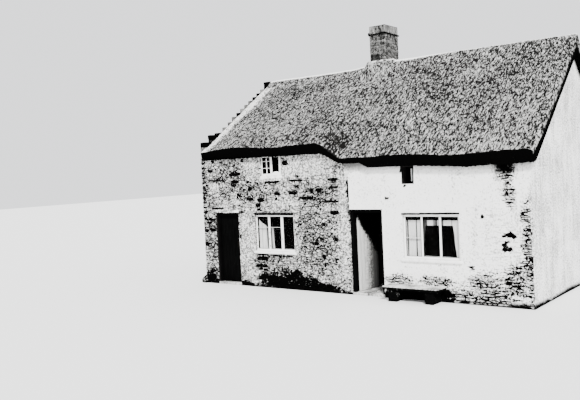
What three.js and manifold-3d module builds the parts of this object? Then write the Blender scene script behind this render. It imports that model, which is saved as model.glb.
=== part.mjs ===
// A pair of thatched stone cottages under one roof: the left one of bare rubble, the right one limewashed.
// Millimetres, +Z up. While it is drawn, X runs along the front wall from the left corner, Y runs into the
// building from the front face, and Z is the height above the door thresholds' ground. At the end the whole
// group is shifted so that its origin is the middle of its box at ground level.

import * as THREE from 'three';
import { mergeVertices } from 'three/addons/utils/BufferGeometryUtils.js';
import Module from 'manifold-3d';

const wasm = await Module();
wasm.setup();

// Plan of the walls
const LENGTH = 8400;
const DEPTH = 5500;
const GABLE = 420;
const FRONT = 500;
const PARTY_LEFT = 3660;
const PARTY_RIGHT = 4430;
const JUNCTION_HIGH = 4330;
const JUNCTION_STEP = 2580;
const RIDGE = DEPTH / 2;

// Roof: the height of each wall head at its outer face, and the slope of each roof
const LEFT_HEAD = 3120;
const LEFT_PITCH = 0.651;
const RIGHT_HEAD = 2760;
const RIGHT_PITCH = 0.8145;
const THATCH = 360;
const EAVE_REACH = -180;
const LIP_REACH = -140;
const LIP_DROP = 210;
const LIP_CORNER = { share: 0.55, to: 900 };
const LIP_RIGHT = { extra: 40, from: 6500, to: 7700 };
const VERGE = 120;
const RIDGE_BAND = 300;
const RIDGE_CAP = 50;
const PARAPET = 220;
const SEAT = 0.3;
const OVERCUT = 1;
const WALL_REACH = 6500;
const ABOVE_ROOF = 7000;

// The thatch isn't level along its eave: it swells and dips, and is thinner over the wall's high head that
// runs on for a short way beside the junction.
const LEFT_SWELL = { height: 34, length: 2600, start: 650, calm: 2600, level: 3600, offset: -8 };
const RIGHT_SWELL = { height: 18, length: 2700, start: 4900, fall: 22, fallStart: 5900, fallEnd: 7100 };
const BESIDE_JUNCTION = { from: 4750, to: 5050, underRise: 110, topRise: 28, lipRise: 90 };

// Stations along the thatch and down its slope, where its surface is set out
const LEFT_STATIONS = [PARAPET + SEAT, 900, 1600, 2300, 3000, PARTY_LEFT, 3875, 4090, 4260, PARTY_RIGHT];
const RIGHT_STATIONS = [PARTY_RIGHT, 4750, 4900, 5050, 5500, 5900, 6500, 7100, 7700, 8100, LENGTH + VERGE];
const REACHES = [EAVE_REACH, 0, FRONT, 1150, 1800, RIDGE - RIDGE_BAND, RIDGE];

// Stones of the left gable's parapet: the reach of each one's front edge, and its top. The foot stones are
// uneven, and from there they step up with the thatch.
const PARAPET_FOOT = [[0, 3580], [290, 3770], [540, 3830], [850, 3980], [1070, 4120]];
const PARAPET_STEPS = { from: 1240, to: 2650, count: 8, sink: 20 };
const PARAPET_PEAK = 5290;

// Roof timbers: each long one's near and far edge and its depth
const RAFTER = { width: 70, depth: 120, spacing: 450 };
const LONG_TIMBERS = [[FRONT, 600, 80], [1560, 1660, 110], [RIDGE - 60, RIDGE, 90]];
const TIMBER_LAP = 20;

// Chimney over the party wall
const STACK = { x0: PARTY_LEFT, x1: 4090, y0: 2430, y1: 3070, foot: 4700, shoulder: 6010, top: 6240 };
const BAND_PROUD = 28;
const BAND_HEIGHT = 35;
const FLUE_WALL = 115;
// Straw swept up round the chimney: how far it spreads at its foot and its lip, and its heights at its lower
// edge and at the ridge
const SADDLE = { reach: 2080, spread: 330, lip: 50 };
const SADDLE_EDGE = { foot: 4750, top: 5390 };
const SADDLE_RIDGE = { foot: 5050, top: 5440 };

// Storeys
const FLAGS = 50;
const JOIST_FOOT = 2020;
const BOARDS_FOOT = 2120;
const BOARDS_TOP = 2150;
const JOISTS = 7;
const JOIST_WIDTH = 76;

// Doorways: clear hole in the wall, timber frame set in it, and the leaf hung on the left post
const LEFT_DOOR = { x0: GABLE, x1: 1180, head: 1790, post0: 55, post1: 55, y0: 50, open: 0 };
const RIGHT_DOOR = { x0: PARTY_RIGHT, x1: 5240, head: 1870, post0: 60, post1: 70, y0: 30, open: 82 };
const DOOR_FRAME_DEPTH = 100;
const DOOR_HEAD = 70;
const LEAF_THICK = 32;
const LEAF_GAP = 5;
const LEAF_FREE_GAP = 10;
const LEAF_FOOT_GAP = 10;
const LEAF_BACK_STEP = 1;
const PIN_R = 8;
const PIN_SIDES = 16;
const KNUCKLE_R = 12;
const KNUCKLE_HEIGHT = 44;
const HINGE = { low: 250, high: 300, behindPost: 6, pad: 12, padSide: 6, padSeat: 2, pinSeat: 6, pinTop: 8 };
const STRAP = { thick: 6, height: 40, reach: 400 };
const LEDGE = { thick: 24, height: 110, inset: 60, aboveStrap: 12 };

// Windows: hole in the wall, lights between the frame's posts, and bars across some lights
const FRAME_Y = 35;
const UPPER_FRAME_Y = 10;
const BACK_FRAME_Y = 80;
const FRAME_DEPTH = 45;
const PANE = 4;
const PANE_LAP = 15;
const BACK_POST = 55;
const BACK_PANE_LAP = 20;
const CLOTH = 26;
const SILL_HEIGHT = 60;
const SILL_PROUD = 50;
const SILL_HORN = 45;

const LEFT_LOWER = { x0: 1705, x1: 2885, z0: 880, z1: 1735, y: FRAME_Y };
const LEFT_LOWER_LIGHTS = [[1737, 2081, 925, 1438], [1737, 2081, 1450, 1700], [2134, 2462, 925, 1438],
  [2134, 2462, 1450, 1700], [2527, 2843, 925, 1700]];
const RIGHT_LOWER = { x0: 5720, x1: 6970, z0: 850, z1: 1755, y: FRAME_Y };
const RIGHT_LOWER_LIGHTS = [[5756, 6115, 892, 1270], [5756, 6115, 1282, 1715], [6149, 6520, 892, 1715],
  [6560, 6930, 892, 1715]];
const LEFT_UPPER = { x0: 1970, x1: 2575, z0: 2670, z1: 3105, y: UPPER_FRAME_Y };
const CASEMENT_COLUMNS = [[1995, 2112], [2138, 2242]];
const CASEMENT_ROWS = [[2717, 2843], [2857, 3005], [3021, 3085]];
const OPEN_LIGHT = [2293, 2507, 2717, 3085];
const RIGHT_UPPER = { x0: 5730, x1: 6020, z0: 2390, z1: 2745, y: 200 };
const RIGHT_UPPER_LIGHTS = [[5755, 5843, 2425, 2710], [5883, 5995, 2425, 2710]];
const BACK_LEFT_LOWER = { x0: 1500, x1: 2500, z0: 840, z1: 1740, y: BACK_FRAME_Y };
const BACK_RIGHT_LOWER = { x0: 5700, x1: 6700, z0: 860, z1: 1740, y: BACK_FRAME_Y };
const BACK_LEFT_UPPER = { x0: 1700, x1: 2300, z0: 2650, z1: 3060, y: BACK_FRAME_Y };
const BACK_RIGHT_UPPER = { x0: 6000, x1: 6400, z0: 2380, z1: 2700, y: BACK_FRAME_Y };

// Outlines of the hung cloth behind the two lower windows
const LEFT_CURTAIN = [[1745, 892], [2208, 892], [2190, 1300], [2180, 1432], [2030, 1460], [1780, 1630],
  [1745, 1640]];
const RIGHT_CURTAIN = [[5745, 862], [6130, 862], [6150, 1200], [6190, 1530], [6795, 1530], [6825, 1200],
  [6857, 862], [6945, 862], [6945, 1640], [5745, 1640]];

// Stone bench against the right wall, and the boulder at the left corner
const BENCH = { x0: 5400, x1: 6650, y0: -400, top: 315, thick: 70, leg: 200, legInset: 110, legBack: 30 };
const BOULDER = { reach: 290, halfDepth: 260, height: 230, y: 170 };

// Finishes
const FINISH = {
  rubble: { color: 0x9a968c, roughness: 0.95 },
  limewash: { color: 0xdedbd2, roughness: 0.9 },
  coping: { color: 0x5f5c55, roughness: 0.95 },
  thatch: { color: 0x8f8b7e, roughness: 1 },
  ridge: { color: 0xa7a394, roughness: 1 },
  oldTimber: { color: 0x6a5f50, roughness: 0.9 },
  flags: { color: 0x807c72, roughness: 0.9 },
  boards: { color: 0x7a6d5a, roughness: 0.85 },
  paleDoor: { color: 0xc9c5ba, roughness: 0.7 },
  tarredTimber: { color: 0x17150f, roughness: 0.75 },
  whitePaint: { color: 0xe6e4dd, roughness: 0.6 },
  glass: { color: 0x20262a, roughness: 0.1, opacity: 0.4 },
  curtain: { color: 0xe3e0d8, roughness: 0.95 },
};

const cottage = new THREE.Group();

// Solids

function solidFrom(geometry) {
  geometry.deleteAttribute('normal');
  geometry.deleteAttribute('uv');
  const merged = mergeVertices(geometry);
  return new wasm.Manifold(new wasm.Mesh({
    numProp: 3,
    vertProperties: new Float32Array(merged.attributes.position.array),
    triVerts: new Uint32Array(merged.index.array),
  }));
}

function geometryFrom(solid) {
  const mesh = solid.getMesh();
  const geometry = new THREE.BufferGeometry();
  geometry.setAttribute('position', new THREE.BufferAttribute(new Float32Array(mesh.vertProperties), 3));
  geometry.setIndex(new THREE.BufferAttribute(new Uint32Array(mesh.triVerts), 1));
  geometry.computeVertexNormals();
  return geometry;
}

function add(name, solid, finish, parent = cottage) {
  const look = FINISH[finish];
  const { color, roughness } = look;
  const material = new THREE.MeshStandardMaterial({ color, roughness, metalness: 0 });
  if (look.opacity) {
    material.transparent = true;
    material.opacity = look.opacity;
  }
  const mesh = new THREE.Mesh(geometryFrom(solid), material);
  mesh.name = name;
  parent.add(mesh);
  return mesh;
}

function shapeOf(points, holes) {
  const shape = new THREE.Shape(points.map(([u, v]) => new THREE.Vector2(u, v)));
  holes.forEach((hole) => shape.holes.push(new THREE.Path(hole.map(([u, v]) => new THREE.Vector2(u, v)))));
  return shape;
}

// An outline drawn in plan and carried up from z0 to z1.
function upright(points, z0, z1, holes = []) {
  const geometry = new THREE.ExtrudeGeometry(shapeOf(points, holes), { depth: z1 - z0, bevelEnabled: false });
  geometry.translate(0, 0, z0);
  return solidFrom(geometry);
}

// An outline drawn in X and Z, as seen from the front, and carried back from y0 to y1.
function facing(points, y0, y1, holes = []) {
  const geometry = new THREE.ExtrudeGeometry(shapeOf(points, holes), { depth: y1 - y0, bevelEnabled: false });
  geometry.applyMatrix4(new THREE.Matrix4().set(1, 0, 0, 0, 0, 0, -1, y1, 0, 1, 0, 0, 0, 0, 0, 1));
  return solidFrom(geometry);
}

// An outline drawn in Y and Z, as seen from the end, and carried along from x0 to x1.
function endwise(points, x0, x1) {
  const geometry = new THREE.ExtrudeGeometry(shapeOf(points, []), { depth: x1 - x0, bevelEnabled: false });
  geometry.applyMatrix4(new THREE.Matrix4().set(0, 0, 1, x0, 1, 0, 0, 0, 0, 1, 0, 0, 0, 0, 0, 1));
  return solidFrom(geometry);
}

function rectangle(u0, u1, v0, v1) {
  return [[u0, v0], [u1, v0], [u1, v1], [u0, v1]];
}

function block(x0, x1, y0, y1, z0, z1) {
  return upright(rectangle(x0, x1, y0, y1), z0, z1);
}

function joined(solids) {
  return solids.reduce((sum, solid) => sum.add(solid));
}

// The same outline turned to the back of the building.
function mirroredPoints(points) {
  return points.map(([y, z]) => [DEPTH - y, z]).reverse();
}

// Roof surfaces

function junctionShare(x, reach) {
  const up = THREE.MathUtils.clamp(reach / (RIDGE - RIDGE_BAND), 0, 1);
  const end = THREE.MathUtils.lerp(PARTY_RIGHT, STACK.x1, up);
  return THREE.MathUtils.smoothstep(x, PARTY_LEFT, end);
}

function roofPlane(x, reach) {
  const left = LEFT_HEAD + LEFT_PITCH * reach;
  const right = RIGHT_HEAD + RIGHT_PITCH * reach;
  return THREE.MathUtils.lerp(left, right, junctionShare(x, reach));
}

function towardsEave(reach) {
  return 1 - THREE.MathUtils.clamp(reach / (RIDGE - RIDGE_BAND), 0, 1);
}

function besideJunction(x, reach) {
  const { from, to } = BESIDE_JUNCTION;
  return towardsEave(reach) * junctionShare(x, reach) * (1 - THREE.MathUtils.smoothstep(x, from, to));
}

function leftSwell(x) {
  const { height, length, start, calm, level, offset } = LEFT_SWELL;
  const wave = Math.sin((2 * Math.PI * (x - start)) / length);
  return height * wave * (1 - THREE.MathUtils.smoothstep(x, calm, level)) + offset;
}

function rightSwell(x) {
  const { height, length, start, fall, fallStart, fallEnd } = RIGHT_SWELL;
  const wave = Math.sin((2 * Math.PI * (x - start)) / length);
  return height * wave - fall * THREE.MathUtils.smoothstep(x, fallStart, fallEnd);
}

function thatchUnder(x, reach) {
  return roofPlane(x, reach) + BESIDE_JUNCTION.underRise * besideJunction(x, reach);
}

function thatchTop(x, reach) {
  const swell = THREE.MathUtils.lerp(leftSwell(x), rightSwell(x), junctionShare(x, reach));
  const rise = BESIDE_JUNCTION.topRise * besideJunction(x, reach);
  return roofPlane(x, reach) + THATCH + towardsEave(reach) * swell + rise;
}

function lipDrop(x) {
  const fromCorner = THREE.MathUtils.smoothstep(x, PARAPET, LIP_CORNER.to);
  const corner = THREE.MathUtils.lerp(LIP_CORNER.share, 1, fromCorner);
  const thicker = LIP_RIGHT.extra * THREE.MathUtils.smoothstep(x, LIP_RIGHT.from, LIP_RIGHT.to);
  return LIP_DROP * corner + thicker - BESIDE_JUNCTION.lipRise * besideJunction(x, 0);
}

// One slope of a roof layer, from the eave to the ridge, between an under surface and an upper one.
function slopeSolid(side, stations, upper, under) {
  const columns = stations.length - 1;
  const rows = REACHES.length - 1;
  const geometry = new THREE.BoxGeometry(1, 1, 1, columns, rows, 1);
  const position = geometry.attributes.position;
  for (let i = 0; i < position.count; i += 1) {
    const x = stations[Math.round((position.getX(i) + 0.5) * columns)];
    const row = Math.round((position.getY(i) + 0.5) * rows);
    const reach = REACHES[side === 'front' ? row : rows - row];
    const [y, z] = position.getZ(i) > 0 ? upper(x, reach) : under(x, reach);
    position.setXYZ(i, x, side === 'front' ? y : DEPTH - y, z);
  }
  return solidFrom(geometry);
}

function underLine(drop) {
  return (x, reach) => {
    if (reach === EAVE_REACH) {
      return [LIP_REACH, thatchTop(x, reach) - lipDrop(x) - drop];
    }
    return [reach, thatchUnder(x, reach) - drop];
  };
}

function thatchSlope(side, stations) {
  return slopeSolid(side, stations, (x, reach) => [reach, thatchTop(x, reach)], underLine(0));
}

// Everything above the walls' sloping heads, which every wall is cut by.
function roofSpace() {
  const stations = [-PARAPET, ...LEFT_STATIONS.slice(1), ...RIGHT_STATIONS.slice(1, -1), LENGTH + PARAPET];
  const sides = ['front', 'back'].map((side) =>
    slopeSolid(side, stations, (x, reach) => [reach, ABOVE_ROOF], underLine(SEAT)));
  return joined(sides);
}

const ROOF_SPACE = roofSpace();

function addWall(name, solid, finish) {
  add(name, solid.subtract(ROOF_SPACE), finish);
}

// Walls

function holeOf(opening, withSill = false) {
  return rectangle(opening.x0, opening.x1, opening.z0 - (withSill ? SILL_HEIGHT : 0), opening.z1);
}

function addFrontWalls() {
  const { x1: leftDoorEdge } = LEFT_DOOR;
  const { x1: rightDoorEdge } = RIGHT_DOOR;
  const eastInner = LENGTH - GABLE;
  addWall('left_over_door_wall',
    facing(rectangle(GABLE, leftDoorEdge, LEFT_DOOR.head, WALL_REACH), 0, FRONT), 'rubble');
  const leftFront = [[leftDoorEdge, 0], [PARTY_RIGHT, 0], [PARTY_RIGHT, JUNCTION_STEP],
    [JUNCTION_HIGH, JUNCTION_STEP], [JUNCTION_HIGH, WALL_REACH], [leftDoorEdge, WALL_REACH]];
  addWall('left_front_wall',
    facing(leftFront, 0, FRONT, [holeOf(LEFT_LOWER, true), holeOf(LEFT_UPPER)]), 'rubble');
  const overDoor = [[PARTY_RIGHT, RIGHT_DOOR.head], [rightDoorEdge, RIGHT_DOOR.head],
    [rightDoorEdge, WALL_REACH], [JUNCTION_HIGH, WALL_REACH], [JUNCTION_HIGH, JUNCTION_STEP],
    [PARTY_RIGHT, JUNCTION_STEP]];
  addWall('right_over_door_wall', facing(overDoor, 0, FRONT), 'limewash');
  addWall('right_front_wall',
    facing(rectangle(rightDoorEdge, eastInner, 0, WALL_REACH), 0, FRONT,
      [holeOf(RIGHT_LOWER, true), holeOf(RIGHT_UPPER)]), 'limewash');
}

function addBackWalls() {
  addWall('left_back_wall',
    facing(rectangle(GABLE, PARTY_RIGHT, 0, WALL_REACH), DEPTH - FRONT, DEPTH,
      [holeOf(BACK_LEFT_LOWER, true), holeOf(BACK_LEFT_UPPER)]), 'rubble');
  addWall('right_back_wall',
    facing(rectangle(PARTY_RIGHT, LENGTH - GABLE, 0, WALL_REACH), DEPTH - FRONT, DEPTH,
      [holeOf(BACK_RIGHT_LOWER, true), holeOf(BACK_RIGHT_UPPER)]), 'limewash');
}

function addCrossWalls() {
  addWall('west_gable_wall', block(0, GABLE, 0, DEPTH, 0, WALL_REACH), 'rubble');
  addWall('east_gable_wall', block(LENGTH - GABLE, LENGTH, 0, DEPTH, 0, WALL_REACH), 'limewash');
  const chimneySeat = block(STACK.x0, STACK.x1, STACK.y0 - SEAT, STACK.y1 + SEAT, STACK.foot, ABOVE_ROOF);
  const party = block(PARTY_LEFT, PARTY_RIGHT, FRONT, DEPTH - FRONT, 0, WALL_REACH).subtract(chimneySeat);
  addWall('party_wall', party, 'rubble');
}

// The left gable's parapet is a run of stone steps, level with the thatch beside it.
function parapetStones() {
  const { from, to, count, sink } = PARAPET_STEPS;
  const steps = Array.from({ length: count }, (_, step) => {
    const reach = from + (step * (to - from)) / count;
    return [reach, LEFT_HEAD + THATCH + LEFT_PITCH * reach - sink];
  });
  return [...PARAPET_FOOT, ...steps, [to, PARAPET_PEAK]];
}

function parapetOutline() {
  const stones = parapetStones();
  const outline = [[0, LEFT_HEAD], [RIDGE, LEFT_HEAD + LEFT_PITCH * RIDGE]];
  for (let i = stones.length - 1; i >= 0; i -= 1) {
    const [reach, top] = stones[i];
    const far = i + 1 < stones.length ? stones[i + 1][0] : RIDGE;
    outline.push([far, top], [reach, top]);
  }
  return outline;
}

function addParapet() {
  const outline = parapetOutline();
  add('west_parapet_front', endwise(outline, 0, PARAPET), 'coping');
  add('west_parapet_back', endwise(mirroredPoints(outline), 0, PARAPET), 'coping');
}

// Roof

function chimneyHole() {
  return block(STACK.x0 - SEAT, STACK.x1 + SEAT, STACK.y0 - SEAT, STACK.y1 + SEAT, 0, ABOVE_ROOF);
}

function addThatch() {
  ['front', 'back'].forEach((side) => {
    add(`left_${side}_thatch`, thatchSlope(side, LEFT_STATIONS).subtract(chimneyHole()), 'thatch');
    add(`right_${side}_thatch`, thatchSlope(side, RIGHT_STATIONS), 'thatch');
  });
}

// The packed straw over the ridge, from its underside to its top, with its skirts on both slopes.
function ridgeStraw(head, pitch, x0, x1, under, upper, reach = RIDGE_BAND) {
  const peak = head + THATCH + pitch * RIDGE;
  const skirt = peak - pitch * reach;
  return endwise([
    [RIDGE - reach, skirt + under], [RIDGE, peak + under], [RIDGE + reach, skirt + under],
    [RIDGE + reach, skirt + upper], [RIDGE, peak + upper], [RIDGE - reach, skirt + upper],
  ], x0, x1);
}

function addRidgeCaps() {
  const { x0, x1 } = STACK;
  add('left_ridge_cap',
    ridgeStraw(LEFT_HEAD, LEFT_PITCH, PARAPET + SEAT, x0, SEAT, RIDGE_CAP), 'ridge');
  add('right_ridge_cap',
    ridgeStraw(RIGHT_HEAD, RIGHT_PITCH, x1 + SEAT, LENGTH + VERGE, SEAT, RIDGE_CAP), 'ridge');
}

// Straw swept up round the chimney. It lies on the thatch and on the ridge's straw, and is cut to both.
function saddleOn(side) {
  const geometry = new THREE.BoxGeometry(1, 1, 1);
  const position = geometry.attributes.position;
  for (let i = 0; i < position.count; i += 1) {
    const high = position.getZ(i) > 0;
    const outer = (position.getY(i) < 0) === (side === 'front');
    const spread = high ? SADDLE.lip : SADDLE.spread;
    const x = position.getX(i) < 0 ? STACK.x0 - spread : STACK.x1 + spread;
    const lowerEdge = high ? STACK.y0 - SADDLE.lip : SADDLE.reach;
    const reach = outer ? lowerEdge : RIDGE;
    const heights = outer ? SADDLE_EDGE : SADDLE_RIDGE;
    position.setXYZ(i, x, side === 'front' ? reach : DEPTH - reach, high ? heights.top : heights.foot);
  }
  const overThatch = (x, reach) => [reach, thatchTop(x, reach) + SEAT];
  const thatch = slopeSolid(side, LEFT_STATIONS, overThatch, underLine(0));
  const under = -RIDGE_CAP;
  const over = RIDGE_CAP + SEAT;
  const reach = RIDGE_BAND + SEAT;
  return [
    chimneyHole(), thatch,
    ridgeStraw(LEFT_HEAD, LEFT_PITCH, PARAPET, STACK.x0, under, over, reach),
    ridgeStraw(RIGHT_HEAD, RIGHT_PITCH, STACK.x1, LENGTH, under, over, reach),
  ].reduce((rest, cut) => rest.subtract(cut), solidFrom(geometry));
}

function addSaddles() {
  add('chimney_front_saddle', saddleOn('front'), 'ridge');
  add('chimney_back_saddle', saddleOn('back'), 'ridge');
}

// Round-pole rafters drawn square, joined by a wall plate, a purlin and half of the ridge pole.
function roofFrame(side, head, pitch, x0, x1) {
  const top = (y) => head + pitch * y - SEAT;
  const place = (points) => (side === 'front' ? points : mirroredPoints(points));
  const count = Math.round((x1 - x0) / RAFTER.spacing);
  const pieces = [];
  for (let i = 0; i < count; i += 1) {
    const middle = x0 + ((i + 0.5) * (x1 - x0)) / count;
    const outline = [[FRONT, top(FRONT) - RAFTER.depth], [RIDGE, top(RIDGE) - RAFTER.depth],
      [RIDGE, top(RIDGE)], [FRONT, top(FRONT)]];
    pieces.push(endwise(place(outline), middle - RAFTER.width / 2, middle + RAFTER.width / 2));
  }
  LONG_TIMBERS.forEach(([y0, y1, depth]) => {
    const under = RAFTER.depth - TIMBER_LAP;
    const outline = [[y0, top(y0) - under - depth], [y1, top(y0) - under - depth],
      [y1, top(y1) - under], [y0, top(y0) - under]];
    pieces.push(endwise(place(outline), x0, x1));
  });
  return joined(pieces);
}

function addRoofFrames() {
  ['front', 'back'].forEach((side) => {
    add(`left_${side}_rafters`, roofFrame(side, LEFT_HEAD, LEFT_PITCH, GABLE, PARTY_LEFT), 'oldTimber');
    add(`right_${side}_rafters`,
      roofFrame(side, RIGHT_HEAD, RIGHT_PITCH, PARTY_RIGHT, LENGTH - GABLE), 'oldTimber');
  });
}

// Chimney

function flueRing(proud, z0, z1) {
  const outer = rectangle(STACK.x0 - proud, STACK.x1 + proud, STACK.y0 - proud, STACK.y1 + proud);
  const inner = -FLUE_WALL;
  const flue = rectangle(STACK.x0 - inner, STACK.x1 + inner, STACK.y0 - inner, STACK.y1 + inner);
  return upright(outer, z0, z1, [flue]);
}

function addChimney() {
  add('chimney_stack', flueRing(0, STACK.foot, STACK.shoulder), 'rubble');
  add('chimney_band', flueRing(BAND_PROUD, STACK.shoulder, STACK.shoulder + BAND_HEIGHT), 'coping');
  add('chimney_cap', flueRing(0, STACK.shoulder + BAND_HEIGHT, STACK.top), 'rubble');
}

// Floors

function addFloors() {
  const rooms = [['left', GABLE, PARTY_LEFT], ['right', PARTY_RIGHT, LENGTH - GABLE]];
  rooms.forEach(([name, x0, x1]) => {
    add(`${name}_ground_floor`, block(x0, x1, FRONT, DEPTH - FRONT, 0, FLAGS), 'flags');
    const pieces = [block(x0, x1, FRONT, DEPTH - FRONT, BOARDS_FOOT, BOARDS_TOP)];
    for (let i = 0; i < JOISTS; i += 1) {
      const left = x0 + ((i + 0.5) * (x1 - x0)) / JOISTS - JOIST_WIDTH / 2;
      pieces.push(block(left, left + JOIST_WIDTH, FRONT, DEPTH - FRONT, JOIST_FOOT, BOARDS_FOOT));
    }
    add(`${name}_chamber_floor`, joined(pieces), 'boards');
  });
}

// Doors

function pinAt(x, y, radius, z0, z1) {
  const geometry = new THREE.CylinderGeometry(radius, radius, z1 - z0, PIN_SIDES);
  geometry.rotateX(Math.PI / 2);
  geometry.translate(x, y, (z0 + z1) / 2);
  return solidFrom(geometry);
}

// The hinge axis stands just behind the left post's back face, in line with the inner face of the leaf.
function hingeAxis(door) {
  return {
    x: door.x0 + door.post0 - HINGE.behindPost,
    y: door.y0 + DOOR_FRAME_DEPTH + LEAF_BACK_STEP + KNUCKLE_R,
  };
}

function hingeLevels(door) {
  return [FLAGS + LEAF_FOOT_GAP + HINGE.low, door.head - DOOR_HEAD - HINGE.high];
}

function doorFrame(door) {
  const { x0, x1, head, post0, post1, y0 } = door;
  const under = head - DOOR_HEAD;
  const outline = [[x0, FLAGS], [x0 + post0, FLAGS], [x0 + post0, under], [x1 - post1, under],
    [x1 - post1, FLAGS], [x1, FLAGS], [x1, head], [x0, head]];
  const axis = hingeAxis(door);
  const frameBack = y0 + DOOR_FRAME_DEPTH;
  const pieces = [facing(outline, y0, frameBack)];
  hingeLevels(door).forEach((z) => {
    pieces.push(block(axis.x - HINGE.pad, axis.x + HINGE.padSide, frameBack - HINGE.padSeat,
      axis.y + HINGE.pad, z - HINGE.pad, z));
    pieces.push(pinAt(axis.x, axis.y, PIN_R, z - HINGE.pinSeat, z + KNUCKLE_HEIGHT + HINGE.pinTop));
  });
  return joined(pieces);
}

// The leaf is drawn shut, about its hinge axis, and then turned with its group.
function doorLeaf(door) {
  const axis = hingeAxis(door);
  const x0 = door.x0 + door.post0 + LEAF_GAP - axis.x;
  const x1 = door.x1 - door.post1 - LEAF_FREE_GAP - axis.x;
  const face = door.y0 + DOOR_FRAME_DEPTH + LEAF_BACK_STEP - axis.y;
  const foot = FLAGS + LEAF_FOOT_GAP;
  const top = door.head - DOOR_HEAD - LEAF_FOOT_GAP;
  const pieces = [block(x0, x1, face - LEAF_THICK, face, foot, top)];
  const bores = [];
  const boreR = (PIN_R + SEAT) / Math.cos(Math.PI / PIN_SIDES);
  hingeLevels(door).forEach((z) => {
    const low = z + SEAT;
    const high = z + KNUCKLE_HEIGHT;
    pieces.push(block(0, STRAP.reach, face, face + STRAP.thick, low, high));
    pieces.push(pinAt(0, 0, KNUCKLE_R, low, high));
    bores.push(pinAt(0, 0, boreR, low - OVERCUT, high + OVERCUT));
    const ledge = z + STRAP.height + LEDGE.aboveStrap;
    pieces.push(block(x0 + LEDGE.inset, x1 - LEDGE.inset, face, face + LEDGE.thick,
      ledge, ledge + LEDGE.height));
  });
  return bores.reduce((solid, bore) => solid.subtract(bore), joined(pieces));
}

function addDoor(side, door, leafFinish) {
  add(`${side}_door_sill`, block(door.x0, door.x1, 0, FRONT, 0, FLAGS), 'flags');
  add(`${side}_door_frame`, doorFrame(door), 'tarredTimber');
  const axis = hingeAxis(door);
  const hinge = new THREE.Group();
  hinge.position.set(axis.x, axis.y, 0);
  hinge.rotation.z = THREE.MathUtils.degToRad(door.open);
  cottage.add(hinge);
  add(`${side}_door_leaf`, doorLeaf(door), leafFinish, hinge);
}

// Windows

function windowFrame(opening, lights, y = opening.y) {
  const frame = block(opening.x0, opening.x1, y, y + FRAME_DEPTH, opening.z0, opening.z1);
  return lights.reduce((rest, [x0, x1, z0, z1]) =>
    rest.subtract(block(x0, x1, y - OVERCUT, y + FRAME_DEPTH + OVERCUT, z0, z1)), frame);
}

// One sheet of glass close behind the frame, over all the given lights.
function paneBehind(opening, lights) {
  const back = opening.y + FRAME_DEPTH;
  const x0 = Math.min(...lights.map((light) => light[0])) - PANE_LAP;
  const x1 = Math.max(...lights.map((light) => light[1])) + PANE_LAP;
  const z0 = Math.min(...lights.map((light) => light[2])) - PANE_LAP;
  const z1 = Math.max(...lights.map((light) => light[3])) + PANE_LAP;
  return block(x0, x1, back, back + PANE, z0, z1);
}

function stoneSill(opening) {
  const { x0, x1, z0 } = opening;
  return upright([[x0 - SILL_HORN, -SILL_PROUD], [x1 + SILL_HORN, -SILL_PROUD], [x1 + SILL_HORN, 0], [x1, 0],
    [x1, FRONT], [x0, FRONT], [x0, 0], [x0 - SILL_HORN, 0]], z0 - SILL_HEIGHT, z0);
}

function addGlazedWindow(name, opening, glazed, unglazed = []) {
  add(`${name}_frame`, windowFrame(opening, [...glazed, ...unglazed]), 'whitePaint');
  add(`${name}_glass`, paneBehind(opening, glazed), 'glass');
}

function addFrontWindows() {
  addGlazedWindow('left_lower_window', LEFT_LOWER, LEFT_LOWER_LIGHTS);
  add('left_lower_window_sill', stoneSill(LEFT_LOWER), 'limewash');
  addGlazedWindow('right_lower_window', RIGHT_LOWER, RIGHT_LOWER_LIGHTS);
  add('right_lower_window_sill', stoneSill(RIGHT_LOWER), 'limewash');
  // A glazed casement of two by three panes beside an open, unglazed light
  const casement = CASEMENT_COLUMNS.flatMap((column) => CASEMENT_ROWS.map((row) => [...column, ...row]));
  addGlazedWindow('left_upper_window', LEFT_UPPER, casement, [OPEN_LIGHT]);
  addGlazedWindow('right_upper_window', RIGHT_UPPER, RIGHT_UPPER_LIGHTS);
}

// The back windows are plain: frame, panes and sill are one piece.
function backWindow(opening, lightCount, sill) {
  const wide = (opening.x1 - opening.x0 - BACK_POST * (lightCount + 1)) / lightCount;
  const lights = [];
  for (let i = 0; i < lightCount; i += 1) {
    const x0 = opening.x0 + BACK_POST + i * (wide + BACK_POST);
    lights.push([x0, x0 + wide, opening.z0 + BACK_POST, opening.z1 - BACK_POST]);
  }
  const inner = DEPTH - opening.y - FRAME_DEPTH;
  const pane = block(opening.x0 + BACK_PANE_LAP, opening.x1 - BACK_PANE_LAP, inner, inner + PANE,
    opening.z0 + BACK_PANE_LAP, opening.z1 - BACK_PANE_LAP);
  const window = windowFrame(opening, lights, inner).add(pane);
  return sill ? window.add(block(opening.x0, opening.x1, DEPTH - FRONT, DEPTH + SILL_PROUD,
    opening.z0 - SILL_HEIGHT, opening.z0)) : window;
}

function addBackWindows() {
  add('left_back_lower_window', backWindow(BACK_LEFT_LOWER, 3, true), 'whitePaint');
  add('right_back_lower_window', backWindow(BACK_RIGHT_LOWER, 3, true), 'whitePaint');
  add('left_back_upper_window', backWindow(BACK_LEFT_UPPER, 2, false), 'whitePaint');
  add('right_back_upper_window', backWindow(BACK_RIGHT_UPPER, 1, false), 'whitePaint');
}

// Curtains hang close behind the panes.
function addCurtains() {
  const near = FRAME_Y + FRAME_DEPTH + PANE + SEAT;
  add('left_window_curtain', facing(LEFT_CURTAIN, near, near + CLOTH), 'curtain');
  add('right_window_curtain', facing(RIGHT_CURTAIN, near, near + CLOTH), 'curtain');
}

// Outside the walls

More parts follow.
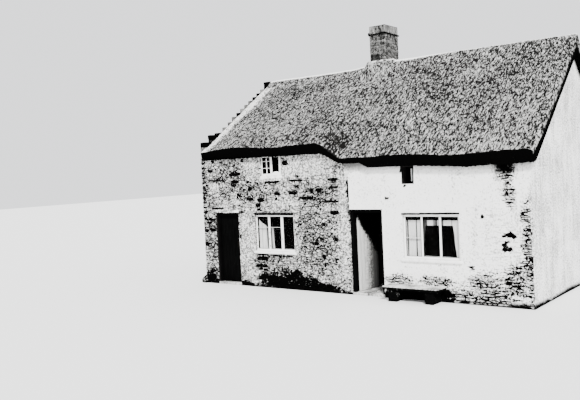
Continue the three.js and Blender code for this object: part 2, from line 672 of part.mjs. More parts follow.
function addBench() {
  const { x0, x1, y0, top, thick, leg, legInset, legBack } = BENCH;
  const under = top - thick;
  const legFace = y0 + legBack;
  add('bench_slab', block(x0, x1, y0, 0, under, top), 'flags');
  add('bench_left_stone', block(x0 + legInset, x0 + legInset + leg, legFace, 0, 0, under), 'flags');
  add('bench_right_stone', block(x1 - legInset - leg, x1 - legInset, legFace, 0, 0, under), 'flags');
}

function addBoulder() {
  const geometry = new THREE.IcosahedronGeometry(1, 1);
  geometry.scale(BOULDER.reach, BOULDER.halfDepth, BOULDER.height);
  geometry.translate(0, BOULDER.y, 0);
  const outside = block(-LENGTH, -SEAT, -DEPTH, DEPTH, 0, DEPTH);
  add('corner_boulder', solidFrom(geometry).intersect(outside), 'rubble');
}

addFrontWalls();
addBackWalls();
addCrossWalls();
addParapet();
addThatch();
addRidgeCaps();
addSaddles();
addRoofFrames();
addChimney();
addFloors();
addDoor('left', LEFT_DOOR, 'tarredTimber');
addDoor('right', RIGHT_DOOR, 'paleDoor');
addFrontWindows();
addBackWindows();
addCurtains();
addBench();
addBoulder();

// The origin is the middle of the building's box, on the ground.
const box = new THREE.Box3().setFromObject(cottage);
const middle = box.getCenter(new THREE.Vector3());
cottage.position.set(-middle.x, -middle.y, 0);
cottage.updateMatrixWorld(true);

export default cottage;
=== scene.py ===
import math
import random

import bmesh
import bpy
import numpy as np
from mathutils import Matrix, Vector, noise


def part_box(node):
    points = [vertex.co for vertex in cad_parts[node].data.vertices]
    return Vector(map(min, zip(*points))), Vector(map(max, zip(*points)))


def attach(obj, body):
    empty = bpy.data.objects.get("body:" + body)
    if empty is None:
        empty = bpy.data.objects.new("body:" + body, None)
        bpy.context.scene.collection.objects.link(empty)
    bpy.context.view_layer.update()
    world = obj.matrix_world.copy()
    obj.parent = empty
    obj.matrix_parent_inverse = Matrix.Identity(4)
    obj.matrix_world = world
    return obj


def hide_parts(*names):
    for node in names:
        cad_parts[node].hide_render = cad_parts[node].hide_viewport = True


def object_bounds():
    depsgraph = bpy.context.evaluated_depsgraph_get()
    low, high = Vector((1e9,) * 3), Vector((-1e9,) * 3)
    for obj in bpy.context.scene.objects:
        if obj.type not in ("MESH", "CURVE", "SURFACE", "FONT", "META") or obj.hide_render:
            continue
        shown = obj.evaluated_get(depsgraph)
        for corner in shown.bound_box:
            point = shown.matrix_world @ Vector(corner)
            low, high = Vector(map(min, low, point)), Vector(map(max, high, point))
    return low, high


# A pair of joined thatched cottages: bare rubble on the left, limewash on the right, one thatch over both.
# All shapes are set out in metres from the front wall's left corner: X along the wall, Y into the building,
# Z up from the ground. Build.piece moves them into the part's own frame.

bl_info = {
    "name": "Thatched cottage",
    "version": (1, 0, 0),
    "blender": (4, 5, 0),
    "location": "View3D > Sidebar > Cottage",
    "description": "Dresses a pair of joined cottages in rubble, limewash and thatch",
    "category": "Object",
}

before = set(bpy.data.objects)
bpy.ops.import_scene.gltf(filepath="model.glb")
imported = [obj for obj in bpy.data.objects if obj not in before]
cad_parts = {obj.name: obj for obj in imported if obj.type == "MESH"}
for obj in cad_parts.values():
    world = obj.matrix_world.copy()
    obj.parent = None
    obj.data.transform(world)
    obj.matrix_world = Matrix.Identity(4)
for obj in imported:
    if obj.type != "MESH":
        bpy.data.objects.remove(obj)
CAD_BOX = [list(corner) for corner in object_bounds()]
CAD_LOW = np.array(CAD_BOX[0])
CAD_HIGH = np.array(CAD_BOX[1])
CORNER = np.array([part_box("west_gable_wall")[0][0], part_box("west_gable_wall")[0][1], 0.0])

# Plan and heights, as the part has them
LENGTH = 8.4
DEPTH = 5.5
FRONT = 0.5
PARTY_LEFT = 3.66
PARTY_RIGHT = 4.43
JUNCTION_HIGH = 4.33
JUNCTION_STEP = 2.58
RIDGE = DEPTH / 2
LEFT_HEAD = 3.12
LEFT_PITCH = 0.651
RIGHT_HEAD = 2.76
RIGHT_PITCH = 0.8145
THATCH = 0.36
EAVE_REACH = -0.18
LIP_REACH = -0.14
LIP_DROP = 0.21
VERGE = 0.12
RIDGE_BAND = 0.3
RIDGE_CAP = 0.05
PARAPET = 0.22
PARAPET_FOOT = [(0.0, 3.58), (0.29, 3.77), (0.54, 3.83), (0.85, 3.98), (1.07, 4.12)]
PARAPET_STEPS = {"from": 1.24, "to": 2.65, "count": 8, "sink": 0.02}
PARAPET_PEAK = 5.29
STACK = {"x0": 3.66, "x1": 4.09, "y0": 2.43, "y1": 3.07, "shoulder": 6.01, "top": 6.24}
BAND_PROUD = 0.028
BAND_HEIGHT = 0.035
SADDLE = {"reach": 2.08, "spread": 0.33, "lip": 0.05}
SADDLE_EDGE = {"foot": 4.75, "top": 5.39}
SADDLE_RIDGE = {"foot": 5.05, "top": 5.44}
FLAGS = 0.05
DOOR_FRAME_DEPTH = 0.1
DOOR_HEAD = 0.07
DOOR_SEAT = 0.001  # between a leaf's back and its frame
DOOR_GAP = 0.010  # round a leaf, and half as much on its hinge side
HINGE_PIN = {"aside": 0.006, "behind": 0.012}
LEFT_DOOR = {"x0": 0.42, "x1": 1.18, "head": 1.79, "post0": 0.055, "post1": 0.055, "y0": 0.05, "open": 0}
RIGHT_DOOR = {"x0": 4.43, "x1": 5.24, "head": 1.87, "post0": 0.06, "post1": 0.07, "y0": 0.03, "open": 82}
FRAME_Y = 0.035
UPPER_FRAME_Y = 0.010
DEEP_FRAME_Y = 0.2
BACK_FRAME_Y = 0.08
FRAME_DEPTH = 0.045
CLOTH_Y = 0.0973
SAWN = {"bevel": 0.004, "rough": 0.0008, "step": 0.15}
SILL_HEIGHT = 0.06
SILL_PROUD = 0.05
SILL_HORN = 0.045
BENCH = {"x0": 5.4, "x1": 6.65, "y0": -0.4, "top": 0.315, "thick": 0.07}
BENCH_LEGS = {"left": 5.51, "right": 6.34}
BENCH_LEG = {"wide": 0.2, "y0": -0.37}
WRAP = 0.012  # how far stones and coats reach round a wall's corner
SEAM = 0.002  # what a coat stays below the thatch
HEWN = 9.0  # lumps of a hewn block in a metre

# Front windows: the opening's sides and heights, then each light's, then each bar's
LEFT_LOWER = (1.705, 2.885, 0.88, 1.735)
LEFT_LOWER_LIGHTS = [(1.737, 2.081, 0.925, 1.7), (2.134, 2.462, 0.925, 1.7), (2.527, 2.843, 0.925, 1.7)]
LEFT_LOWER_BARS = [(1.737, 2.081, 1.44, 1.446), (2.134, 2.462, 1.44, 1.446)]
RIGHT_LOWER = (5.72, 6.97, 0.85, 1.755)
RIGHT_LOWER_LIGHTS = [(5.756, 6.115, 0.892, 1.715), (6.149, 6.52, 0.892, 1.715), (6.56, 6.93, 0.892, 1.715)]
RIGHT_LOWER_BARS = [(5.756, 6.115, 1.274, 1.279)]
LEFT_UPPER = (1.97, 2.575, 2.67, 3.105)
LEFT_UPPER_LIGHTS = [(1.995, 2.242, 2.717, 3.085), (2.293, 2.507, 2.717, 3.085)]
LEFT_UPPER_BARS = [(2.121, 2.133, 2.717, 3.085), (1.995, 2.242, 2.846, 2.854), (1.995, 2.242, 3.009, 3.017)]
RIGHT_UPPER = (5.73, 6.02, 2.39, 2.745)
RIGHT_UPPER_LIGHTS = [(5.755, 5.995, 2.425, 2.71)]
RIGHT_UPPER_STILE = (5.846, 5.872, 2.44, 2.7)

# What the front walls' stones and coats leave open: doors, windows with their drip boards and sills, the
# step between the two halves, and the strip of wall over the right upper window
LEFT_OPENINGS = [
    (LEFT_DOOR["x0"], LEFT_DOOR["x1"], 0.0, LEFT_DOOR["head"]),
    (*LEFT_LOWER[:2], 0.82, 1.797),
    (*LEFT_UPPER[:3], 3.2),
    (JUNCTION_HIGH, PARTY_RIGHT, JUNCTION_STEP, 3.4),
]
RIGHT_OPENINGS = [
    (4.3, PARTY_RIGHT, 0.0, JUNCTION_STEP),
    (RIGHT_DOOR["x0"], RIGHT_DOOR["x1"], 0.0, RIGHT_DOOR["head"]),
    (*RIGHT_LOWER[:2], 0.79, RIGHT_LOWER[3]),
    RIGHT_UPPER,
    (*RIGHT_UPPER[:2], RIGHT_UPPER[3], 2.8),
]

# Back windows: the opening, and how many lights it has
BACK_WINDOWS = [
    ("left_back_lower", (1.5, 2.5, 0.84, 1.74), 3), ("right_back_lower", (5.7, 6.7, 0.86, 1.74), 3),
    ("left_back_upper", (1.7, 2.3, 2.65, 3.06), 2), ("right_back_upper", (6.0, 6.4, 2.38, 2.7), 1),
]

# Places on the front walls, in metres along it and up: middle, then half the width and half the height
WASHED = [
    (1.62, 2.88, 0.36, 0.28), (3.35, 2.86, 0.85, 0.34), (2.26, 2.66, 0.5, 0.14), (1.44, 1.15, 0.3, 0.8),
    (1.72, 1.32, 0.09, 0.5), (4.27, 1.45, 0.17, 1.35), (1.1, 2.16, 0.13, 0.2), (0.4, 2.42, 0.17, 0.11),
    (1.62, 0.27, 0.3, 0.17), (2.7, 2.02, 0.5, 0.1), (0.8, 1.84, 0.42, 0.05), (2.95, 1.3, 0.1, 0.5),
]
DARK_STONES = [
    (4.03, 1.8, 0.14, 0.06), (3.3, 2.13, 0.22, 0.05), (3.63, 2.3, 0.09, 0.06), (3.43, 2.29, 0.05, 0.06),
    (2.42, 2.24, 0.1, 0.05), (2.88, 2.25, 0.14, 0.05), (1.58, 2.13, 0.14, 0.05), (1.93, 2.1, 0.13, 0.07),
    (1.6, 2.38, 0.07, 0.06), (1.2, 2.2, 0.07, 0.1), (2.72, 2.95, 0.12, 0.08), (3.0, 2.54, 0.22, 0.035),
    (4.02, 2.53, 0.14, 0.05), (1.12, 2.74, 0.2, 0.06), (0.4, 2.6, 0.4, 0.03), (0.24, 1.62, 0.18, 0.04),
    (0.3, 1.36, 0.1, 0.06), (0.07, 1.34, 0.08, 0.06), (0.3, 2.85, 0.1, 0.05),
    (0.5, 1.9, 0.22, 0.03), (1.9, 0.7, 0.2, 0.07), (1.85, 0.52, 0.2, 0.05), (2.82, 1.96, 0.09, 0.04),
    (4.05, 2.36, 0.15, 0.03), (3.95, 2.05, 0.25, 0.03), (0.08, 1.0, 0.1, 0.06), (2.25, 2.52, 0.3, 0.04),
    # Painted shadow under the left lower window's sill:
    (1.88, 0.79, 0.18, 0.02), (2.45, 0.77, 0.36, 0.018),
    # Painted shadow at the left corner: every second quoin is dark, as though set back in shade:
    *((0.05, 1.8 + 0.125 * k, 0.075, 0.032) for k in range(11)),
]
GLOOM = [
    (0.15, 1.0, 0.36, 1.1), (0.9, 2.78, 0.72, 0.34), (3.45, 1.1, 0.65, 0.85), (2.15, 0.62, 0.5, 0.2),
    (1.3, 2.3, 0.9, 0.25), (0.05, 2.5, 0.12, 0.7), (3.6, 2.2, 0.6, 0.25),
]
# Places along the left wall's foot where it goes black.
DARK_FOOT = [(2.5, 0.1, 0.8, 0.3), (0.2, 0.0, 0.3, 0.26), (3.4, 0.02, 0.8, 0.22), (1.2, 0.0, 0.5, 0.12)]
FLAKED = [
    (7.45, 0.1, 1.0, 0.4), (7.5, 0.42, 0.42, 0.24), (5.55, 0.4, 0.42, 0.14), (6.45, 0.4, 0.4, 0.12),
    (8.35, 0.9, 0.16, 1.1), (7.95, 2.5, 0.25, 0.1), (8.1, 0.45, 0.3, 0.4), (8.0, 2.2, 0.12, 0.3),
    (8.3, 1.75, 0.12, 0.2), (6.9, 0.12, 0.5, 0.2),
]
HOLLOWS = [
    (7.98, 1.37, 0.14, 0.08), (7.93, 1.14, 0.1, 0.13), (5.715, 2.7, 0.03, 0.1), (7.21, 0.72, 0.07, 0.05),
    (8.27, 1.74, 0.07, 0.13), (7.45, 1.72, 0.03, 0.05), (7.97, 0.45, 0.1, 0.14), (5.82, 2.355, 0.05, 0.03),
    # On the next line, the place at 6.1 along and 0.12 up is painted shadow of the bench on the wall behind
    # it.
    (7.6, 0.36, 0.16, 0.045), (7.15, 0.1, 0.3, 0.07), (6.1, 0.12, 0.75, 0.17), (7.65, 0.05, 0.4, 0.07),
    (8.36, 0.5, 0.05, 0.3), (8.3, 1.2, 0.05, 0.1), (7.75, 0.2, 0.3, 0.04), (8.02, 2.6, 0.06, 0.03),
    (7.85, 2.68, 0.1, 0.05),
]

BLACK = (0.001, 0.001, 0.00095)  # the colour of soot, grime and deep flaws


# Numbers and noise

def smoothstep(x, start, end):
    t = np.clip((np.asarray(x, float) - start) / (end - start), 0, 1)
    return t * t * (3 - 2 * t)


def lerp(a, b, t):
    return a + (b - a) * t


def lattice(ix, iy, seed):
    """A repeatable number from 0 to 1 for each lattice point."""
    mixed = (ix * 374761393 + iy * 668265263 + seed * 974711) & 0xFFFFFFFF
    mixed = ((mixed ^ (mixed >> 13)) * 1274126177) & 0xFFFFFFFF
    return ((mixed ^ (mixed >> 16)) & 0xFFFF) / 65535.0


def ripple(x, y, seed=0):
    """Smooth noise from -1 to 1 over two coordinates."""
    x, y = np.broadcast_arrays(np.asarray(x, float), np.asarray(y, float))
    ix, iy = np.floor(x).astype(np.int64), np.floor(y).astype(np.int64)
    fx, fy = x - ix, y - iy
    fx, fy = fx * fx * (3 - 2 * fx), fy * fy * (3 - 2 * fy)
    low = lerp(lattice(ix, iy, seed), lattice(ix + 1, iy, seed), fx)
    high = lerp(lattice(ix, iy + 1, seed), lattice(ix + 1, iy + 1, seed), fx)
    return lerp(low, high, fy) * 2 - 1


def layered(x, y, seed=0, octaves=3):
    total = sum(ripple(x * 2 ** k, y * 2 ** k, seed + k) * 0.5 ** k for k in range(octaves))
    return total / sum(0.5 ** k for k in range(octaves))


# Roof surfaces, as the part has them: reach is the way in from the front wall's face, or from the back's

def up_slope(reach):
    return np.clip(np.asarray(reach, float) / (RIDGE - RIDGE_BAND), 0, 1)


def junction_share(x, reach):
    """0 on the left half's roof and 1 on the right half's."""
    return smoothstep(x, PARTY_LEFT, lerp(PARTY_RIGHT, STACK["x1"], up_slope(reach)))


def roof_plane(x, reach):
    return lerp(LEFT_HEAD + LEFT_PITCH * reach, RIGHT_HEAD + RIGHT_PITCH * reach, junction_share(x, reach))


def beside_junction(x, reach):
    """Where the thatch swells beside the step between the two halves."""
    return (1 - up_slope(reach)) * junction_share(x, reach) * (1 - smoothstep(x, 4.75, 5.05))


def thatch_under(x, reach):
    return roof_plane(x, reach) + 0.11 * beside_junction(x, reach)


def eave_height(x):
    """How high the front wall stands at x."""
    return float(thatch_under(x, 0.0))


def thatch_top(x, reach):
    left = 0.034 * np.sin(2 * np.pi * (x - 0.65) / 2.6) * (1 - smoothstep(x, 2.6, 3.6)) - 0.008
    right = 0.018 * np.sin(2 * np.pi * (x - 4.9) / 2.7) - 0.022 * smoothstep(x, 5.9, 7.1)
    swell = lerp(left, right, junction_share(x, reach))
    rise = 0.028 * beside_junction(x, reach)
    return roof_plane(x, reach) + THATCH + (1 - up_slope(reach)) * swell + rise


def lip_drop(x):
    corner = lerp(0.55, 1, smoothstep(x, PARAPET, 0.9))
    thicker = 0.04 * smoothstep(x, 6.5, 7.7)
    return LIP_DROP * corner + thicker - 0.09 * beside_junction(x, 0)


def parapet_stones():
    """The reach of each parapet stone's front edge, and its top."""
    start, end, count = (PARAPET_STEPS[key] for key in ("from", "to", "count"))
    reaches = [start + k * (end - start) / count for k in range(count)]
    steps = [(reach, LEFT_HEAD + THATCH + LEFT_PITCH * reach - PARAPET_STEPS["sink"]) for reach in reaches]
    return [*PARAPET_FOOT, *steps, (end, PARAPET_PEAK)]


def saddle_top(x, reach):
    """The straw swept up round the chimney."""
    lip = STACK["y0"] - SADDLE["lip"]
    up = np.clip((reach - SADDLE["reach"]) / (lip - SADDLE["reach"]), 0, 1)
    along = np.clip((reach - SADDLE["reach"]) / (RIDGE - SADDLE["reach"]), 0, 1)
    out = np.maximum(STACK["x0"] - x, x - STACK["x1"])
    near = np.clip((SADDLE["spread"] - out) / (SADDLE["spread"] - SADDLE["lip"]), 0, 1)
    top = lerp(SADDLE_EDGE["top"], SADDLE_RIDGE["top"], np.clip((reach - lip) / (RIDGE - lip), 0, 1))
    front = lerp(SADDLE_EDGE["foot"], top, up)
    side = lerp(lerp(SADDLE_EDGE["foot"], SADDLE_RIDGE["foot"], along), top, near)
    return np.minimum(front, side)


# Meshes

class Build:
    """Gathers the points and faces of one piece."""

    def __init__(self):
        self.points = []
        self.faces = []
        self.tone = []
        self.shade = []
        self.count = 0

    def add(self, points, faces, tone=0.5, shade=0.0):
        points = np.asarray(points, float).reshape(-1, 3)
        self.points.append(points)
        self.faces.extend([i + self.count for i in face] for face in faces)
        self.tone.append(np.broadcast_to(tone, len(points)))
        self.shade.append(np.broadcast_to(shade, len(points)))
        self.count += len(points)

    def piece(self, name, slot, material, replaces=None, crease=40, turn=None, body="building"):
        points = np.concatenate(self.points)
        if turn:
            points = turn(points)
        points = np.clip(points + CORNER, CAD_LOW, CAD_HIGH)
        mesh = bpy.data.meshes.new(name)
        mesh.from_pydata(points.tolist(), [], self.faces)
        for mark, values in (("tone", self.tone), ("shade", self.shade)):
            attribute = mesh.attributes.new(mark, "FLOAT", "POINT")
            attribute.data.foreach_set("value", np.concatenate(values).astype(np.float32))
        turned = bmesh.new()
        turned.from_mesh(mesh)
        bmesh.ops.recalc_face_normals(turned, faces=turned.faces)
        turned.to_mesh(mesh)
        turned.free()
        mesh.polygons.foreach_set("use_smooth", [True] * len(mesh.polygons))
        mesh.set_sharp_from_angle(angle=math.radians(crease))
        mesh.materials.append(material)
        made = bpy.data.objects.new(name, mesh)
        bpy.context.scene.collection.objects.link(made)
        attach(made, body)
        if replaces:
            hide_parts(replaces)
        return made


class Face:
    """A flat side of a wall: u runs along it, v up, and out away from it."""

    def __init__(self, origin, along, outward):
        self.origin = np.array(origin, float)
        self.along = np.array(along, float)
        self.outward = np.array(outward, float)

    def at(self, u, v, out):
        u, v, out = np.broadcast_arrays(np.asarray(u, float), np.asarray(v, float), np.asarray(out, float))
        flat = self.origin + u[..., None] * self.along + out[..., None] * self.outward
        flat[..., 2] += v
        return flat


FRONT_FACE = Face((0, 0, 0), (1, 0, 0), (0, -1, 0))
BACK_FACE = Face((0, DEPTH, 0), (1, 0, 0), (0, 1, 0))
WEST_FACE = Face((0, 0, 0), (0, 1, 0), (-1, 0, 0))
EAST_FACE = Face((LENGTH, 0, 0), (0, 1, 0), (1, 0, 0))


def cuts(low, high, bevel, step):
    """Where a block's side is divided: beside its rounded edges, and at about every step between them."""
    inside = max(1, round((high - low - 2 * bevel) / step)) if step else 1
    return np.concatenate([[low], np.linspace(low + bevel, high - bevel, inside + 1), [high]])


def add_block(build, low, high, bevel=0.006, rough=0.0, step=None, tone=0.5, bend=None):
    """A block with rounded edges, hewn unevenly by rough metres. bend moves its finished points."""
    low, high = np.array(low, float), np.array(high, float)
    bevel = min(bevel, 0.45 * float((high - low).min()))
    axes = [cuts(low[k], high[k], bevel, step) for k in range(3)]
    index = {}
    points = []

    def corner(key):
        if key not in index:
            index[key] = len(points)
            points.append([axes[k][key[k]] for k in range(3)])
        return index[key]

    faces = []
    for axis in range(3):
        a, b = [k for k in range(3) if k != axis]
        for end in (0, len(axes[axis]) - 1):
            for i in range(len(axes[a]) - 1):
                for j in range(len(axes[b]) - 1):
                    face = []
                    for di, dj in ((0, 0), (1, 0), (1, 1), (0, 1)):
                        key = [0, 0, 0]
                        key[axis], key[a], key[b] = end, i + di, j + dj
                        face.append(corner(tuple(key)))
                    faces.append(face)
    points = np.array(points)
    core = np.clip(points, low + bevel, high - bevel)
    away = points - core
    away /= np.maximum(np.linalg.norm(away, axis=1), 1e-9)[:, None]
    points = core + away * bevel
    if rough:
        lumps = np.array([noise.fractal(Vector(p) * HEWN, 0.8, 2.0, 3) for p in points])
        points = points + away * (lumps * rough)[:, None]
    if bend:
        points = bend(points)
    build.add(points, faces, tone)


def ring_sides(rows, count, closed=False):
    """Faces between rings that follow one another; closed when the last ring meets the first."""
    faces = []
    for r in range(rows if closed else rows - 1):
        here, there = r * count, (r + 1) % rows * count
        for k in range(count):
            n = (k + 1) % count
            faces.append([here + k, here + n, there + n, there + k])
    return faces


def add_tube(build, start, end, radius, sides=8):
    """A round rod between two points, closed at both ends."""
    start, end = np.array(start, float), np.array(end, float)
    along = (end - start) / np.linalg.norm(end - start)
    across = np.cross(along, [0, 0, 1] if abs(along[2]) < 0.9 else [1, 0, 0])
    across /= np.linalg.norm(across)
    other = np.cross(along, across)
    turns = np.arange(sides) * 2 * np.pi / sides
    ring = (np.cos(turns)[:, None] * across + np.sin(turns)[:, None] * other) * radius
    ends = [list(range(sides))[::-1], list(range(sides, 2 * sides))]
    build.add(np.concatenate([start + ring, end + ring]), ring_sides(2, sides) + ends)


# Stonework

def clipped(polygon, normal, limit):
    """The part of a convex polygon that lies below the limit along the normal."""
    over = [p[0] * normal[0] + p[1] * normal[1] - limit for p in polygon]
    kept = []
    for i, here in enumerate(polygon):
        j = (i + 1) % len(polygon)
        if over[i] <= 0:
            kept.append(here)
        if over[i] * over[j] < 0:
            share = over[i] / (over[i] - over[j])
            kept.append((lerp(here[0], polygon[j][0], share), lerp(here[1], polygon[j][1], share)))
    return kept


def worn_outline(polygon, rng):
    """A cell's outline without its shortest sides, and with its corners knocked off."""
    corners = [np.array(p) for i, p in enumerate(polygon) if math.dist(p, polygon[i - 1]) > 0.007]
    outline = []
    for i, here in enumerate(corners):
        for other in (corners[i - 1], corners[(i + 1) % len(corners)]):
            cut = min(0.4, rng.uniform(0.006, 0.022) / max(np.linalg.norm(other - here), 1e-6))
            outline.append(here + (other - here) * cut)
    return np.array(outline)


def flat_oval(u, v, wide, tall, rng):
    """The outline of a long flat stone."""
    turns = np.arange(12) * 2 * np.pi / 12
    squared = lambda x: np.sign(x) * np.abs(x) ** 0.6
    uneven = np.array([rng.uniform(0.78, 1.08) for _ in turns])
    across = u + wide * squared(np.cos(turns)) * uneven
    up = v + tall * 0.85 * squared(np.sin(turns)) * uneven
    return np.stack([across, up], 1)


def add_stone(build, face, outline, rng, relief, bed, tone, plain=False):
    """One stone: its side rises from the bed, its arris is worn, and its face is dressed unevenly."""
    count = len(outline)
    centre = outline.mean(0)
    spoke = outline - centre
    long = np.maximum(np.linalg.norm(spoke, axis=1), 1e-6)
    tilt = np.array([rng.uniform(-0.06, 0.06), rng.uniform(-0.1, 0.1)]) * min(1, relief / 0.012)

    def ring(share, out, uneven):
        flat = centre + spoke * np.broadcast_to(share, count)[:, None]
        lift = out + (flat - centre) @ tilt
        lift = lift + np.array([rng.uniform(-uneven, uneven) for _ in range(count)])
        return face.at(flat[:, 0], flat[:, 1], lift)

    worn = np.maximum(0.55, 1 - 0.012 / long)
    rings = [ring(1, -bed, 0), ring(1, relief * 0.25, 0), ring(worn, relief * 0.85, relief * 0.18)]
    if not plain:
        rings.append(ring(worn * 0.55, relief, relief * 0.3))
    middle = face.at(centre[0], centre[1], relief * rng.uniform(0.8, 1.25)).reshape(1, 3)
    faces = [list(range(count))[::-1], *ring_sides(len(rings), count)]
    last = (len(rings) - 1) * count
    faces += [[last + k, last + (k + 1) % count, last + count] for k in range(count)]
    build.add(np.concatenate(rings + [middle]), faces, tone)


class Rubble:
    """How a stretch of wall is laid: course height, stone length, joint, relief and what varies along it."""

    def __init__(self, seed, course, length, joint, relief, plain=False, bed=0.012, holes=(), named=(),
                 top=None, tone=None, keep=None, filled=None):
        self.rng = random.Random(seed)
        self.seed = seed
        self.course = course
        self.length = length
        self.joint = joint
        self.relief = relief
        self.plain = plain
        self.bed = bed
        self.holes = holes
        self.named = named
        self.top = top
        self.tone = tone or plain_tone
        self.keep = keep or (lambda u, v: True)
        self.filled = filled or (lambda u, v: 0.0)

    def middles(self, low, high):
        """Stones in uneven rows, one above the other, round those that have a place of their own."""
        rng = self.rng
        around = [(x, z, wide + 0.03, tall + 0.02) for x, z, wide, tall in self.named]
        v = low[1] + self.course / 2
        while v < high[1]:
            u = low[0] + self.length * rng.uniform(0.1, 0.6)
            while u < high[0]:
                lift = 0.35 * float(ripple(u * 1.9, v * 9.1, self.seed)) + rng.uniform(-0.28, 0.28)
                if not around or nearness(around, u, v + self.course * lift) < 0:
                    yield u, v + self.course * lift
                u += self.length * rng.uniform(0.45, 1.75)
            v += self.course * rng.uniform(0.8, 1.2)

    def stands(self, u, v):
        """Whether the wall is solid here."""
        open_here = any(x0 < u < x1 and z0 < v < z1 for x0, x1, z0, z1 in self.holes)
        return not open_here and not (self.top and v > self.top(u) - 0.02)

    def lay(self, build, face, low, high):
        """Stones between two corners. Each takes what lies nearer to its middle than to its neighbours'."""
        taken = []
        for x, z, wide, tall in self.named:
            outline = flat_oval(x, z, wide, tall, self.rng)
            tone = self.tone(x, z, self.rng)
            add_stone(build, face, outline, self.rng, self.relief, self.bed, tone, self.plain)
            count = max(1, round(wide / 0.08))
            taken += [(x + wide * ((2 * k + 1) / count - 1), z) for k in range(count)]
        middles = np.array(taken + [p for p in self.middles(low, high) if self.stands(*p)])
        stretch = self.length / self.course
        scaled = middles * (1, stretch)
        for here, (u, v) in list(zip(scaled, middles))[len(taken):]:
            if not self.keep(u, v):
                continue
            fill = float(self.filled(u, v))
            half = self.joint * self.rng.uniform(0.3, 0.7) * (1 - 0.5 * fill)
            cell = [(low[0], low[1]), (high[0], low[1]), (high[0], high[1]), (low[0], high[1])]
            apart = scaled - here
            for k in np.argsort((apart ** 2).sum(1))[1:15]:
                across = apart[k] * (1, stretch)
                long = float(np.linalg.norm(across))
                limit = float(apart[k] @ (here + apart[k] / 2))
                cell = clipped(cell, across / long, limit / long - half)
            cell = self.trimmed(cell, u, v)
            if len(cell) < 3 or np.ptp(np.array(cell), axis=0).min() < 0.018:
                continue
            outline = worn_outline(cell, self.rng)
            if len(outline) < 6:
                continue
            relief = self.relief * self.rng.uniform(0.55, 1.35) * (1 - 0.7 * fill)
            tone = self.tone(u, v, self.rng)
            add_stone(build, face, outline, self.rng, relief, self.bed, tone, self.plain)

    def trimmed(self, cell, u, v):
        """A cell kept out of the openings and below the roof."""
        for x0, x1, z0, z1 in self.holes:
            sides = [((1, 0), x0, x0 - u), ((-1, 0), -x1, u - x1),
                     ((0, 1), z0, z0 - v), ((0, -1), -z1, v - z1)]
            normal, limit, _ = max(sides, key=lambda side: side[2])
            cell = clipped(cell, normal, limit - 0.003)
        if self.top:
            slope = (self.top(u + 0.05) - self.top(u - 0.05)) / 0.1
            long = math.hypot(slope, 1)
            cell = clipped(cell, (-slope / long, 1 / long), (self.top(u) - slope * u) / long - 0.004)
        return cell


# How the front walls vary

def nearness(places, u, v):
    """1 at the middle of one of the places, 0 at its edge, and down to -1 away from all."""
    best = np.full(np.broadcast(u, v).shape, -1.0)
    for x, z, wide, high in places:
        best = np.maximum(best, 1 - ((u - x) / wide) ** 2 - ((v - z) / high) ** 2)
    return best


def left_wash(u, v):
    """How far old limewash still covers the left front, from 0 to 1."""
    return np.clip(nearness(WASHED, u, v) + 0.25 + 1.1 * layered(u / 0.17, v / 0.11, 51), 0, 1)


def left_gloom(u, v):
    """How much darker than usual a spot of the left front is."""
    ragged = layered(u / 0.2, v / 0.13, 52)
    dark_foot = np.clip(nearness(DARK_FOOT, u, v) + 0.35 + 1.0 * ragged, 0, 1)
    corner = 0.8 * smoothstep(u, 4.36, 4.42) * (np.asarray(v) < 2.6) * smoothstep(v, 1.5, 1.9)
    return 0.21 * np.clip(nearness(GLOOM, u, v) + 0.4 + 0.5 * ragged, 0, 1) + 1.1 * dark_foot + corner


def left_tone(u, v, rng):
    """How light a stone of the left front is: about 1 for pale and 0 for black."""
    chance = rng.random()
    if nearness(DARK_STONES, u, v) > -0.2:
        return rng.uniform(-0.5, -0.1)
    low, high = (0.0, 0.2) if chance < 0.06 else (0.45, 0.65) if chance < 0.3 else (0.65, 0.9)
    own = rng.uniform(low, high)
    return own + 0.25 * float(left_wash(u, v)) - float(left_gloom(u, v))


def left_mortar(u, v):
    return lerp(0.5, 0.95, left_wash(u, v)) - left_gloom(u, v)


def plain_tone(u, v, rng):
    return rng.uniform(0.0, 0.3) if rng.random() < 0.14 else rng.uniform(0.5, 0.95)


def cap_tone(u, v, rng):
    """The chimney's cap course is paler than the stack."""
    return plain_tone(u, v, rng) + 0.45


def right_bare(u, v):
    """How far the limewash has come off the right front: -1 where it is whole, 1 where it is gone."""
    return np.clip(nearness(FLAKED, u, v) + 0.6 * layered(u / 0.22, v / 0.1, 53), -1, 1)


def right_hollow(u, v):
    return np.clip(nearness(HOLLOWS, u, v) + 0.1 + 1.3 * layered(u / 0.08, v / 0.05, 54, 2), 0, 1)


# Wall coats

def with_edges(values, edges, least=0.006):
    """Grid lines with the given edges among them, and none too close beside an edge."""
    kept = [x for x in values if all(abs(x - e) > least for e in edges)]
    return np.array(sorted(set(kept) | set(edges)))


def coat_lines(low, high, step, sides, least=0.006):
    """Grid lines over a wall, with the sides of its openings among them."""
    return with_edges(np.arange(low, high, step), [low, high, *(x for x in sides if low < x < high)], least)


def sheet_faces(kept):
    """Faces of a thin closed body over a grid's kept cells: outside, inside and round every open edge."""
    rows, columns = kept.shape
    total = (rows + 1) * (columns + 1)
    faces = []
    for i, j in zip(*np.nonzero(kept)):
        a, b = i * (columns + 1) + j, (i + 1) * (columns + 1) + j
        c, d = b + 1, a + 1
        faces += [[a, b, c, d], [total + d, total + c, total + b, total + a]]
        for ni, nj, p, q in ((i, j - 1, a, b), (i + 1, j, b, c), (i, j + 1, c, d), (i - 1, j, d, a)):
            if not (0 <= ni < rows and 0 <= nj < columns and kept[ni, nj]):
                faces.append([total + p, total + q, q, p])
    return faces


